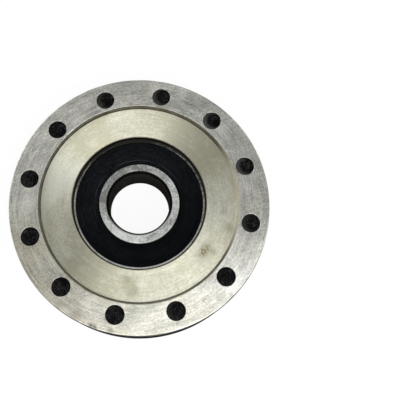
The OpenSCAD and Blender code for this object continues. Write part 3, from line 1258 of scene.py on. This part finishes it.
    def build(self) -> bpy.types.Object:
        """Builds the core and dresses it.

        Returns:
            The piece.
        """
        shell = Shell("core")
        half, face, web = self.half, self.half - self.sunk, self.half - self.flange
        recess = self.rim - self.band
        foot = recess - self.slope
        boss, lip, chamfer = self.clip + self.boss_wall, self.seat - self.cover, self.bevel
        inner, outer = recess + self.cells_in, self.rim - self.cells_out
        inner_end = self.rim - self.strip
        groove = self.clip_low - self.play
        boss_foot = boss + self.slope + self.boss_strip
        lip_edge, mouth, dip = lip + chamfer, self.seat + chamfer, face - self.dip
        for sign, end in ((1, lip_edge + self.strip), (-1, boss_foot)):
            self.skin(shell, Slot.FLANGE, [(inner, half, 0), (recess + self.brink, half, 0)], sign)
            self.skin(shell, Slot.STEP, [
                (recess + self.brink, half, 0), (recess - self.brink, half - self.brink_drop, 0),
                (foot, face, 0.12), (foot - self.fillet, face, 0)], sign)
            self.skin(shell, Slot.FACE, [(foot - self.fillet, face, 0), (end, face, 0)], sign)
        bevel_end = (lip + self.thin, face - chamfer + self.thin, 0)
        self.skin(shell, Slot.FACE, [(lip_edge + self.strip, face, 0), (lip_edge, dip, 0)])
        self.skin(shell, Slot.BEVEL, [(lip_edge, dip, 0), bevel_end])
        self.skin(shell, Slot.LIP, [bevel_end, (lip, face - chamfer, 0.04),
                                    (lip, self.ring_half, 0)])
        self.skin(shell, Slot.INSIDE, [
            (lip, self.ring_half, 0), (self.seat, self.ring_half, 0.05),
            (self.seat, -self.ring_half, 0.05), (self.clip, -self.ring_half, 0.05),
            (self.clip, groove, 0.05), (self.seat, groove, 0.05),
            (self.seat, -half + chamfer, 0.08), (mouth, -half, 0.08),
            (mouth + self.strip, -half, 0)])
        self.skin(shell, Slot.FACE, [
            (mouth + self.strip, -half, 0), (boss, -half, 0.08),
            (boss + self.slope, -face, 0.12), (boss_foot, -face, 0)])
        self.skin(shell, Slot.INSIDE, [(self.barrel, web, 0), (self.barrel, -web, 0)])
        self.rims(shell, outer, inner_end)
        self.drilled(shell, inner, outer, inner_end)
        piece = shell.build(self.materials())
        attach(piece, "wheel")
        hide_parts("wheel_core")
        return piece

    def materials(self) -> list[bpy.types.Material]:
        """Finishes of the core, in the order of its slots.

        Returns:
            One material for each slot.
        """
        face = MachinedSteel(
            "turned_face", (0.565, 0.555, 0.437), (0.850, 0.860, 0.785), roughness=0.56,
            anisotropy=0.96, mark_pitch=0.9, mark_tone=2.1, grain_tone=2.2, cloud_size=5.5,
            cloud_tone=1.4, pit_share=0.0, scratch_tone=0.2, warm=0.25,
            # painted reflection and painted shade: paler and darker bands round the axis that stand
            # in for the turned face's wedge highlights
            painted_light_bands=((46, 30, -0.58), (76, 20, -0.12), (130, 26, -0.48), (160, 26, 0.50),
                   (240, 34, -0.36), (308, 44, -0.14)),
            stains=((20.1, -17.0, 2.8, 0.5), (21.0, -15.4, 2.4, 0.6), (20.4, -16.1, 5.0, 0.35),
                    (24.2, -16.2, 1.8, 0.5), (28.9, -8.6, 2.0, 0.5), (27.4, -3.4, 1.6, 0.4),
                    (-2.5, -27.0, 4.6, 0.6), (-4.6, -24.6, 2.4, 0.5), (-19.6, -17.6, 6.5, 0.3)),
            stain_colour=(0.24, 0.215, 0.13))
        flange = MachinedSteel(
            "sanded_flange", (0.285, 0.286, 0.272), (0.79, 0.792, 0.758), lay=Lay.CROSSED,
            roughness=0.33, anisotropy=0.72, mark_pitch=0.9, mark_tone=2.4, grain_tone=1.7,
            cloud_size=6.5, cloud_tone=1.0, pit_size=0.45, pit_share=0.02, scratch_tone=0.45,
            warm=1.0, warm_side=246, dirt_from=41.2,
            # painted reflection and painted shade: paler and darker bands round the axis
            painted_light_bands=((128, 40, -0.16), (82, 32, -0.12), (45, 14, -0.10), (196, 20, 0.12),
                   (247, 24, 0.13), (290, 14, 0.08)),
            stains=((-14.1, -39.6, 2.4, 1.0), (-14.2, -40.0, 1.8, 1.0), (-8.6, -40.6, 1.6, 0.9),
                    (-20.6, -35.9, 4.2, 0.45), (-24.6, -32.6, 3.0, 0.4), (28.9, -29.9, 1.6, 0.7)),
            stain_colour=(0.09, 0.08, 0.06))
        # dirt and painted shade on the step's wall, left bare as painted light towards +X
        step = GrimeAndShadeStep("step_wall", self.half, self.half - self.sunk)
        inside = MachinedSteel("machined_inside", (0.16, 0.155, 0.135), (0.34, 0.33, 0.30),
                               roughness=0.34, cloud_size=7)
        # painted shade: the lip's inner wall is near black, matt and without metal, as shade inside
        # the lip
        lip = MachinedSteel(
            "painted_shade_lip", (0.0014, 0.0012, 0.0008), (0.0060, 0.0053, 0.0036), metal=0.0,
            specular=0.03, roughness=0.5, cloud_size=5, pit_share=-0.1)
        rim = MachinedSteel(
            "turned_rim", (0.18, 0.172, 0.130), (0.58, 0.56, 0.455), roughness=0.30,
            mark_pitch=0.35, mark_depth=0.010, mark_tone=2.6, grain_tone=0.5, cloud_size=6,
            cloud_tone=1.1, pit_share=0.0, scratch_tone=0.15,
            smear_below=self.half - self.flange)
        # dirt and painted shade on the lip's bevel, left bare as painted light towards -Y
        bevel = GrimeAndShadeStep("lip_bevel", self.half + OPEN_TOP, self.ring_half, rubbed=270,
                          lit_from=-0.6, lit_share=0.30, cover=0.72)
        finish = {Slot.FACE: face, Slot.FLANGE: flange, Slot.STEP: step, Slot.INSIDE: inside,
                  Slot.LIP: lip, Slot.RIM: rim, Slot.BEVEL: bevel}
        return [finish[slot].make() for slot in Slot]


@dataclass
class Tyre:
    """Black tyre with its V groove and the plugs that fill the flanges' holes.

    Attributes:
        tread: Radius of the lands.
        plug_top: Height of the plugs' tops over the middle.
        side: Height of the tyre's sides, against the flanges.
        barrel: Radius of the core's barrel.
        groove: Depth of the groove.
        floor: Width of its floor.
        angle: Angle between its walls, in degrees.
        shoulder: Width of the turned strip at the top of each side.
        sheen_and_scuffs: Strength of the painted reflection on the plugs that have it, by number.
        faint_sheen: Strength on the others.
        cells: The cells with the plugs.
    """

    tread: float = field(default_factory=lambda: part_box("tyre")[1].x / MM)
    plug_top: float = field(default_factory=lambda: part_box("tyre")[1].z / MM)
    side: float = 8.95
    barrel: float = 33.6
    groove: float = 4.0
    floor: float = 8.0
    angle: float = 80.0
    shoulder: float = 0.3
    sheen_and_scuffs: dict[int, float] = field(default_factory=lambda: {
        0: 0.95, 1: 1.0, 2: 0.75, 3: 0.45, 11: 0.4, 9: 0.25, 5: 0.15})
    faint_sheen: float = 0.05
    cells: HoleCells = field(default_factory=lambda: HoleCells(hole=2.99))

    def chips(self, path: Array, angles: Array) -> Array:
        """Chips along the lands' outer corners, where the tyre meets the steel rims.

        They fade away from the corner by exp(-(distance / reach)^2), and down the side to its
        seam. The groove also sways a little: a sin(3 turn) + b sin(11 turn).

        Args:
            path: Outline from the upper side over the groove to the lower side.
            angles: Angles around the wheel.

        Returns:
            Change of the distance from the axis for each angle and outline point.
        """
        rng, reach = np.random.default_rng(CHIP_SEED), 0.28
        lift = np.zeros((len(angles), len(path)))
        seam = np.clip((path[:, 0] - self.tread + self.shoulder) / self.shoulder, 0, 1)
        for sign, count in ((1, 26), (-1, 18)):
            centres = rng.uniform(0, 2 * math.pi, count)
            depths = rng.uniform(0.03, 0.2, count) ** 1.2
            widths = np.radians(rng.uniform(0.5, 2.6, count))
            near = np.exp(-(((path[:, 1] - sign * self.side) / reach) ** 2)) * seam
            lift -= bites(angles, centres, depths, widths)[:, None] * near[None]
        sway = 0.02 * np.sin(3 * angles + 0.4) + 0.012 * np.sin(11 * angles)
        lift += sway[:, None] * (path[None, :, 0] < self.tread - 1)
        return lift

    def plug(self, rng: np.random.Generator) -> tuple[Array, Array, Array]:
        """One plug: its side from the flange's inner face up, then its dished top.

        The top's height is dish (s^2 - 1) + (a x + b y) (1 - s^6) + ripples (1 - s^4) - sink,
        where s is the distance from the plug's centre over its radius, and x and y count from
        there. Each ripple is a sine of a slanted x and y.

        Args:
            rng: Source of the plug's own tilt, dish and ripples.

        Returns:
            The side's grid, the top's grid and the top's centre point.
        """
        cells, hole, plug_top = self.cells, self.cells.hole, self.plug_top
        lead = cells.border(self.barrel, self.tread - self.shoulder, self.side)
        wall = [(hole, self.side), (hole, self.side + 0.1), (hole, plug_top - 0.2),
                (hole, plug_top - 0.1), (hole - 0.03, plug_top - 0.04)]
        sides = np.stack([cells.ring(r, h, lead) for r, h in wall], axis=1)
        steps = np.array([0.95, 0.88, 0.78, 0.66, 0.52, 0.38, 0.24, 0.11])
        top = np.stack([cells.ring(hole * s, plug_top, lead) for s in steps], axis=1)
        middle = top.mean(axis=(0, 1))
        dish, tilt_x, tilt_y = rng.uniform(0.02, 0.16), *rng.uniform(-0.035, 0.035, 2)
        waves = rng.uniform(-1, 1, (4, 3))
        ripple_height, sink = 0.014, 0.02

        def height(points: Array) -> Array:
            """Height of the top over its base.

            Args:
                points: Points of the top.

            Returns:
                The height at each point.
            """
            x, y = points[..., 0] - middle[0], points[..., 1] - middle[1]
            s = np.hypot(x, y) / hole
            ripple = sum(ripple_height * np.sin(3 * u * x + 3 * v * y + 6 * w) for u, v, w in waves)
            slant = tilt_x * x + tilt_y * y
            return dish * (s ** 2 - 1) + slant * (1 - s ** 6) + ripple * (1 - s ** 4) - sink

        top[..., 2] += height(top)
        sides[:, -1, 2] += np.minimum(height(sides[:, -1]), 0)
        tip = middle + [0, 0, float(height(middle[None])[0])]
        return sides, np.concatenate([sides[:, -1:], top], axis=1), tip

    def plug_sheen(self, top: Array, k: int) -> Array:
        """Share of a painted reflection on a plug: a soft pale crescent on its -X side, where the
        plug stands higher.

        The share rises with the distance from a point moved off the plug's centre.

        Args:
            top: Points of the top, already turned to their place.
            k: Number of the plug, which sets how strong its crescent is.

        Returns:
            One value for each point.
        """
        cells, aside, start, width = self.cells, np.array([0.34, 0.10]), 0.72, 0.45
        turn = math.radians(cells.phase) + 2 * math.pi * k / cells.count
        flat = top[..., :2] - cells.circle * np.array([math.cos(turn), math.sin(turn)])
        apart = np.linalg.norm(flat - aside * cells.hole, axis=-1) / cells.hole
        crescent = np.clip((apart - start) / width, 0, 1) ** 1.1
        return self.sheen_and_scuffs.get(k, self.faint_sheen) * crescent

    def build(self) -> bpy.types.Object:
        """Builds the tyre and dresses it.

        Returns:
            The piece.
        """
        shell = Shell("tyre_body")
        cells = self.cells
        angles = cells.angles()
        half_floor, side_top = self.floor / 2, self.tread - self.shoulder
        open_half = half_floor + self.groove * math.tan(math.radians(self.angle / 2))
        upper = [(side_top, self.side, 0), (self.tread, self.side, 0.22),
                 (self.tread, open_half, 0.5), (self.tread - self.groove, half_floor, 0.8)]
        lower = [(r, -h, c) for r, h, c in reversed(upper)]
        path = rounded_path([*upper, *lower], steps=6, longest=0.9)
        shell.grid(turned(path, angles, self.chips(path, angles)), round_u=True)
        barrel = rounded_path([(self.barrel, self.side, 0), (self.barrel, -self.side, 0)])
        shell.grid(turned(barrel, angles), round_u=True)
        rng = np.random.default_rng(PLUG_SEED)
        border = cells.border(self.barrel, side_top, self.side)
        shares = np.array([1, 0.5, 0.1, 0])
        flat = cells.spread(border, cells.ring(cells.hole, self.side, border), shares)
        for k in range(cells.count):
            for under in (False, True):
                sides, top, tip = self.plug(rng)
                shell.grid(cells.around(flat, k, under), round_u=True)
                shell.grid(cells.around(sides, k, under), round_u=True)
                placed = cells.around(top, k, under)
                shell.grid(placed, round_u=True, plug_sheen=self.plug_sheen(placed, k))
                shell.fan(cells.around(top[:, -1], k, under), cells.around(tip[None], k, under)[0])
        piece = shell.build([MouldedTyre("tyre_black").make()])
        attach(piece, "wheel")
        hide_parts("tyre")
        return piece


class RingSlot(Enum):
    """Material slots of a bearing ring; the second holds the painted shade."""

    BARE = 0
    # painted shade
    DULL = 1
    TRIM = 2


@dataclass
class Bearing:
    """The sealed ball bearing: two ground rings, two seals and the rolling parts.

    Attributes:
        bore: Radius of the bore.
        seat: Outer radius.
        half: Half of the width.
        ball: Radius of a ball.
        gap: Gap between a ball and each raceway's bottom.
        conform: Radius of a raceway's arc over the ball's.
        race_depth: Height of a ball over each shoulder.
        ring_bevel: Size of the bevels at the bore and at the seat.
        land_bevel: Size of the bevel on the inner ring's outer edge.
        lip_wall: Thickness of the inner ring.
        seal_wall: Thickness of the outer ring over the seal.
        seal_depth: Depth of the shelf under the seal.
        snap: Depth of the groove that the seal snaps into.
        snap_height: Height of that groove.
        clean: Width of the bright strip on the outer ring's face; beyond it the face gets painted
            shade.
        steps: Steps round the axis.
        race_points: Points along a raceway's arc.
    """

    bore: float = 10.0
    seat: float = field(default_factory=lambda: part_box("bearing_outer_ring")[1].x / MM)
    half: float = field(default_factory=lambda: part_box("bearing_outer_ring")[1].z / MM)
    ball: float = 3.969
    gap: float = 0.05
    conform: float = 1.04
    race_depth: float = 1.5
    ring_bevel: float = 0.75
    land_bevel: float = 0.25
    lip_wall: float = 3.4
    seal_wall: float = 2.5
    seal_depth: float = 2.2
    snap: float = 0.35
    snap_height: float = 0.9
    clean: float = 0.52
    steps: int = 300
    race_points: int = 17

    def angles(self) -> Array:
        """Evenly spaced angles around the bearing."""
        return np.arange(self.steps) * (2 * math.pi / self.steps)

    @property
    def pitch(self) -> float:
        """Distance of the balls' centres from the axis."""
        return (self.bore + self.seat) / 2

    @property
    def shelf(self) -> float:
        """Height of the seat that a seal's foot stands on."""
        return self.half - self.seal_depth

    def race(self, centre: float, start: float) -> Array:
        """Raceway arc around a point on the middle plane: centre + radius (cos t, sin t).

        Args:
            centre: Distance of the arc's centre from the axis.
            start: Angle of the arc's first point, which mirrored is its last.

        Returns:
            The arc's points.
        """
        radius = self.ball * self.conform
        end = -start if abs(start) < math.pi / 2 else 2 * math.pi - start
        turn = np.linspace(start, end, self.race_points)
        return np.stack([centre + radius * np.cos(turn), radius * np.sin(turn)], axis=1)

    def ring(self, name: str, node: str, body: str, half: list[Corner], race: Array,
             materials: list[bpy.types.Material], bare: tuple[float, float],
             trim: tuple[RingSlot, float]) -> bpy.types.Object:
        """Builds one ring of revolution from half of its outline and its raceway.

        Args:
            name: Name of the piece.
            node: The solid that it stands for.
            body: The body that it moves with.
            half: Corners of the upper half, from the raceway's shoulder round to the other side.
            race: The raceway, from the lower shoulder to the upper.
            materials: The finishes, in the order of the slots.
            bare: Distances from the axis between which the steel keeps its finish; outside them it
                gets painted shade.
            trim: Slot whose place the trim takes, and the height over the middle from which
                it does.

        Returns:
            The piece.
        """
        shell = Shell(name)
        lower = [(r, -h, c) for r, h, c in reversed(half)]
        outline = rounded_path([*half, *lower], steps=4, longest=2.5)
        path = np.concatenate([outline, race[1:-1]])
        shell.grid(turned(path, self.angles()), round_u=True, round_v=True)
        piece = shell.build(materials)
        mesh = piece.data
        middles = np.empty(len(mesh.polygons) * 3)
        mesh.polygons.foreach_get("center", middles)
        x, y, z = middles.reshape(-1, 3).T / MM
        far = np.hypot(x, y)
        # painted shade outside the bare band: the bore and the strips by the seal and under the lip
        in_shade = (far < bare[0]) | (far > bare[1])
        slots = np.where(in_shade, RingSlot.DULL.value, RingSlot.BARE.value)
        slots[(slots == trim[0].value) & (abs(z) > trim[1])] = RingSlot.TRIM.value
        mesh.polygons.foreach_set("material_index", slots.astype(np.int32))
        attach(piece, body)
        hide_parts(node)
        return piece

    def seal(self, name: str, node: str, sign: int,
             material: bpy.types.Material) -> bpy.types.Object:
        """Builds a seal: foot in the outer ring's seat, lower band, disc with its rings, lip.

        Args:
            name: Name of the piece.
            node: The solid that it stands for.
            sign: 1 for the upper side, -1 for the lower.
            material: Its finish.

        Returns:
            The piece.
        """
        out, foot = self.seat - self.seal_wall, 1.1
        disc, lip = self.half - 0.25, self.bore + self.lip_wall + 0.2
        under, band, line, lip_face = disc - 1.0, disc - 0.4, disc - 0.1, disc - 0.45
        snap, hook = out + self.snap, self.shelf + self.snap_height
        corners = [
            (out - foot, under, 0), (out - foot, self.shelf, 0.1), (snap, self.shelf, 0.1),
            (snap, hook, 0.1), (out, hook + self.snap, 0.05), (out, band, 0.14),
            (out - 1.42, band, 0.12), (out - 1.58, disc, 0.15), (out - 2.1, disc, 0.1),
            (out - 2.2, line, 0.1), (out - 2.35, line, 0.1), (out - 2.45, disc, 0.1),
            (lip + 1.75, disc, 0.1), (lip + 1.65, line, 0.1), (lip + 1.5, line, 0.1),
            (lip + 1.4, disc, 0.1), (lip + 1.1, disc, 0.12), (lip + 1.1, lip_face, 0.12),
            (lip, lip_face, 0.14), (lip, under, 0.12)]
        shell = Shell(name)
        path = rounded_path(corners, closed=True, steps=4, guard=0.05, longest=1.5)
        shell.grid(turned(path * [1, sign], self.angles()), round_u=True, round_v=True)
        piece = shell.build([material])
        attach(piece, "wheel")
        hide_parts(node)
        return piece

    def rolling(self) -> int:
        """Dresses the balls and the cage's solids, those named ball_ and cage_, which keep their
        solids.

        Returns:
            How many solids were dressed.
        """
        ball = MachinedSteel(
            "polished_ball", (0.50, 0.51, 0.52), (0.70, 0.71, 0.72), roughness=0.12,
            mark_depth=0.0005, mark_tone=0.3, grain_tone=0.3, pit_share=-0.02)
        cage = MachinedSteel(
            "pressed_cage", (0.32, 0.30, 0.26), (0.62, 0.60, 0.55), roughness=0.30,
            mark_depth=0.002, cloud_size=4, pit_share=0.02)
        done = 0
        for start, finish in (("ball_", ball.make()), ("cage_", cage.make())):
            for solid in (o for node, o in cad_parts.items() if node.startswith(start)):
                for slot in solid.material_slots:
                    slot.material = finish
                done += 1
        return done

    def finishes(self) -> list[bpy.types.Material]:
        """Finishes of the two rings.

        Returns:
            The ground face, the outer ring's edge, the bore's bevel with dirt and painted shade,
            and the near-black painted shade of the bore and of the strips by the seal and under the
            lip.
        """
        ground = MachinedSteel(
            "ground_ring", (0.22, 0.223, 0.213), (0.76, 0.785, 0.78), lay=Lay.CROSSED,
            roughness=0.34, anisotropy=0.25, mark_pitch=1.0, mark_depth=0.004, mark_tone=1.9,
            grain_tone=2.3, cloud_size=3.2, cloud_tone=1.3, pit_size=0.6, pit_share=0.08,
            # painted reflection towards 262 degrees, with painted reflection and painted shade in
            # bands round the axis
            pit_colour=(0.05, 0.05, 0.045), scratch_tone=0.3, lean=(262, 0.26),
            painted_light_bands=((28, 50, 0.29), (144, 66, -0.29), (180, 22, -0.22), (240, 28, 0.16),
                   (312, 40, -0.32)))
        edge = MachinedSteel(
            "ring_edge", (0.035, 0.034, 0.029), (0.50, 0.50, 0.475), roughness=0.36,
            mark_pitch=1.0, mark_depth=0.004, mark_tone=1.6, grain_tone=2.2, cloud_size=3.0,
            # painted reflection towards 262 degrees, and painted shade at the top, round 103
            # degrees
            cloud_tone=1.4, pit_size=0.45, pit_share=0.05, lean=(262, 0.42),
            painted_light_bands=((103, 44, -0.5),))
        # dirt and painted shade on the inner ring's bevels, left bare as painted light towards -Y
        bevel = GrimeAndShadeStep(
            "ring_bevel", self.half + OPEN_TOP, self.half - self.ring_bevel * 0.6,
            bare=(0.50, 0.50, 0.48), shade_and_grime=(0.0016, 0.0015, 0.0012), rubbed=276, lit_from=0.10,
            lit_share=0.95, cover=1.12, corner=1.0)
        # painted shade: matt near-black, without metal or gloss, where shade falls in the bore and
        # beside the seals
        bore = MachinedSteel(
            "painted_shade_steel", (0.009, 0.0088, 0.0076), (0.031, 0.030, 0.027), metal=0.0, specular=0.0,
            roughness=0.5, mark_depth=0.003, pit_share=-0.1)
        return [finish.make() for finish in (ground, edge, bevel, bore)]

    def build(self) -> list[bpy.types.Object]:
        """Builds the whole bearing.

        A raceway's arc has its centre on the middle plane, where its bottom clears the balls by
        the gap, and ends at the shoulder, at the turn whose cosine is the way to it over the
        arc's radius.

        Returns:
            The new pieces.
        """
        ground, edge, bevel, bore = self.finishes()
        rubber = SealRubber("seal_rubber").make()
        half, shelf, hook = self.half, self.shelf, self.shelf + self.snap_height
        land, out = self.bore + self.lip_wall, self.seat - self.seal_wall
        snap, bright = out + self.snap, out + self.clean
        curve = self.ball * self.conform
        shoulder = self.ball - self.race_depth
        shoulder_out, shoulder_in = self.pitch + shoulder, self.pitch - shoulder
        centre_out = self.pitch + self.ball + self.gap - curve
        centre_in = self.pitch - self.ball - self.gap + curve
        reach = math.acos((shoulder_out - centre_out) / curve)
        race_end = curve * math.sin(reach)
        outer = [(shoulder_out, race_end, 0), (shoulder_out, shelf, 0.1), (snap, shelf, 0.05),
                 (snap, hook, 0.05), (out, hook + self.snap, 0.05), (out, half, 0.08),
                 (bright, half, 0), (self.seat - self.ring_bevel, half, 0.12),
                 (self.seat, half - self.ring_bevel, 0.12)]
        inner = [(shoulder_in, race_end, 0), (shoulder_in, shelf, 0.1), (land, shelf, 0.05),
                 (land, half - self.land_bevel, 0.06), (land - self.land_bevel, half, 0.06),
                 (self.bore + self.ring_bevel, half, 0.14),
                 (self.bore, half - self.ring_bevel, 0.14)]
        bare_in = (self.bore + self.ring_bevel + 0.15, land - self.land_bevel * 0.8)
        return [
            self.ring("outer_ring", "bearing_outer_ring", "wheel", outer,
                      self.race(centre_out, -reach), [ground, bore, edge], (0.0, bright),
                      (RingSlot.BARE, shelf)),
            self.ring("inner_ring", "bearing_inner_ring", "axle_ring", inner,
                      self.race(centre_in, math.pi + reach), [ground, bore, bevel], bare_in,
                      (RingSlot.DULL, half - self.ring_bevel - 0.05)),
            self.seal("seal_up", "seal_front", 1, rubber),
            self.seal("seal_down", "seal_back", -1, rubber),
        ]


@dataclass
class RetainingRing:
    """Spring steel ring that holds the bearing, stamped, with softly broken edges.

    Attributes:
        edge: Width of the broken edges.
        flat_turn: Angle in degrees under which two triangles are one flat face.
        sharp_turn: Angle in degrees over which an edge is broken.
    """

    edge: float = 0.12
    flat_turn: float = 0.5
    sharp_turn: float = 35.0

    def build(self) -> bpy.types.Object:
        """Copies the solid, joins its triangles and breaks its sharp edges.

        Returns:
            The piece.
        """
        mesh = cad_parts["retaining_ring"].data.copy()
        mesh.name = "spring_ring"
        work = bmesh.new()
        work.from_mesh(mesh)
        bmesh.ops.remove_doubles(work, verts=work.verts, dist=SEAM / 2)
        bmesh.ops.dissolve_limit(work, angle_limit=math.radians(self.flat_turn), verts=work.verts,
                                 edges=work.edges)
        least = math.radians(self.sharp_turn)
        sharp = [e for e in work.edges if e.is_manifold and e.calc_face_angle() > least]
        bmesh.ops.bevel(work, geom=sharp, offset=self.edge * MM, segments=2, profile=0.5,
                        affect="EDGES")
        bmesh.ops.recalc_face_normals(work, faces=work.faces)
        work.to_mesh(mesh)
        work.free()
        finish = MachinedSteel("phosphated_spring", (0.030, 0.029, 0.027), (0.095, 0.092, 0.086),
                               roughness=0.46, cloud_size=5, pit_share=0.02)
        mesh.materials.clear()
        mesh.materials.append(finish.make())
        piece = linked("spring_ring", mesh)
        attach(piece, "wheel")
        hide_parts("retaining_ring")
        return piece


# ---------------------------------------------------------------- studio


@dataclass(frozen=True)
class SoftBox:
    """A rectangular lamp that faces the wheel.

    Attributes:
        name: Name of the lamp.
        azimuth: Its turn from +X towards +Y, in degrees.
        lean: Its angle from straight above.
        distance: Its distance from the origin, in metres.
        width: Its size along one side.
        height: Its size along the other.
        power: Its power, in watts.
        colour: Its colour.
    """

    name: str
    azimuth: float
    lean: float
    distance: float
    width: float
    height: float
    power: float
    colour: Colour = (1.0, 1.0, 1.0)

    def make(self) -> None:
        """Adds the lamp to the scene."""
        data = bpy.data.lights.new(self.name, "AREA")
        data.shape = "RECTANGLE"
        data.size, data.size_y = self.width, self.height
        data.energy, data.color = self.power, self.colour
        lamp = linked(self.name, data)
        turn, lean = math.radians(self.azimuth), math.radians(self.lean)
        aside, up = self.distance * math.sin(lean), self.distance * math.cos(lean)
        lamp.location = (aside * math.cos(turn), aside * math.sin(turn), up)
        lamp.rotation_euler = (0, lean, turn)


@dataclass
class Studio:
    """Plain pale floor, soft light and the camera that looks down on the wheel.

    Attributes:
        floor_height: Height of the floor, in metres.
        reach: Half of the floor's side.
        paint: Colour of the floor in the light.
        glow: Share of plain white in what is seen of it; the rest keeps the shadow.
        camera_place: Place of the camera.
        camera_tilt: Its angle from straight down, in degrees.
        lens: Its focal length, in millimetres.
        sensor: Width of its sensor.
        shift: How far the view is shifted, in widths.
        zenith: Strength of the light from straight above.
        horizon: Strength of the light from the walls.
        lamps: The soft boxes.
    """

    floor_height: float = field(default_factory=lambda: SOLID_BOX[0].z)
    reach: float = 3.0
    paint: Colour = (0.92, 0.92, 0.92)
    glow: float = 0.93
    camera_place: tuple[float, float, float] = (0.0042, -0.04935, 0.2300)
    camera_tilt: float = 17.65
    lens: float = 62.18
    sensor: float = 36.0
    shift: tuple[float, float] = (0.1198, -0.1488)
    zenith: float = 0.54
    horizon: float = 1.0
    lamps: tuple[SoftBox, ...] = (
        SoftBox("key", 282, 30, 0.60, 0.38, 0.70, 3.1, (1.0, 1.0, 0.99)),
        SoftBox("side", 344, 30, 0.60, 0.38, 0.18, 0.42, (1.0, 1.0, 0.99)),
        SoftBox("back_fill", 140, 71, 0.70, 0.40, 0.80, 2.0, (0.98, 0.995, 1.0)),
    )

    def floor(self) -> bpy.types.Object:
        """Adds a white floor that shows plain white to the eye and keeps a soft shadow.

        Returns:
            The floor.
        """
        n = Nodes.named("white_floor")
        seen = (n.add("ShaderNodeLightPath", out="Is Camera Ray")
                + n.add("ShaderNodeLightPath", out="Is Glossy Ray")
                + n.add("ShaderNodeLightPath", out="Is Transmission Ray")).least(1.0)
        matt = n.add("ShaderNodeBsdfDiffuse", sockets={"Color": (*self.paint, 1)})
        glow = n.add("ShaderNodeEmission", sockets={"Color": (1, 1, 1, 1), "Strength": 1.0})
        mixed = n.add("ShaderNodeMixShader", sockets={0: seen * self.glow, 1: matt, 2: glow})
        n.add("ShaderNodeOutputMaterial", sockets={"Surface": mixed})
        mesh = bpy.data.meshes.new("floor")
        corners = ((-1, -1), (1, -1), (1, 1), (-1, 1))
        points = [(x * self.reach, y * self.reach, self.floor_height) for x, y in corners]
        mesh.from_pydata(points, [], [(0, 1, 2, 3)])
        mesh.materials.append(n.owner)
        plane = linked("floor", mesh)
        return plane

    def sky(self) -> None:
        """Lights the studio all round: pale walls that grow darker towards the ceiling."""
        world = bpy.data.worlds.new("studio")
        bpy.context.scene.world = world
        n = Nodes(world)
        way = n.add("ShaderNodeTexCoord", out="Generated")
        up = n.add("ShaderNodeSeparateXYZ", sockets={0: way}, out="Z")
        walls, ceiling = (self.horizon,) * 3, (self.zenith, self.zenith, self.zenith * 0.97)
        walls_end, ceiling_starts = 0.05, 0.75
        colour = n.blend(up.rise(walls_end, ceiling_starts), walls, ceiling)
        light = n.add("ShaderNodeBackground", sockets={"Color": colour, "Strength": 1.0})
        n.add("ShaderNodeOutputWorld", sockets={"Surface": light})

    def camera(self) -> None:
        """Adds the camera."""
        data = bpy.data.cameras.new("camera")
        data.lens, data.sensor_width = self.lens, self.sensor
        data.shift_x, data.shift_y = self.shift
        data.clip_start, data.clip_end = 0.01, 20
        eye = linked("camera", data)
        eye.location = self.camera_place
        eye.rotation_euler = (math.radians(self.camera_tilt), 0, 0)
        bpy.context.scene.camera = eye

    def build(self) -> None:
        """Sets up the floor, the light and the camera."""
        self.floor()
        self.sky()
        self.camera()
        for lamp in self.lamps:
            lamp.make()
        bpy.context.scene.view_settings.view_transform = "Standard"


def main() -> None:
    """Builds the wheel and its studio in order."""
    logging.basicConfig(level=logging.INFO, format="%(message)s")
    Studio().build()
    bearing = Bearing()
    pieces = [WheelCore().build(), Tyre().build(), *bearing.build(), RetainingRing().build()]
    for piece in pieces:
        log.info("%s: %d faces", piece.name, len(piece.data.polygons))
    log.info("rolling parts dressed: %d", bearing.rolling())


if __name__ == "__main__":
    main()
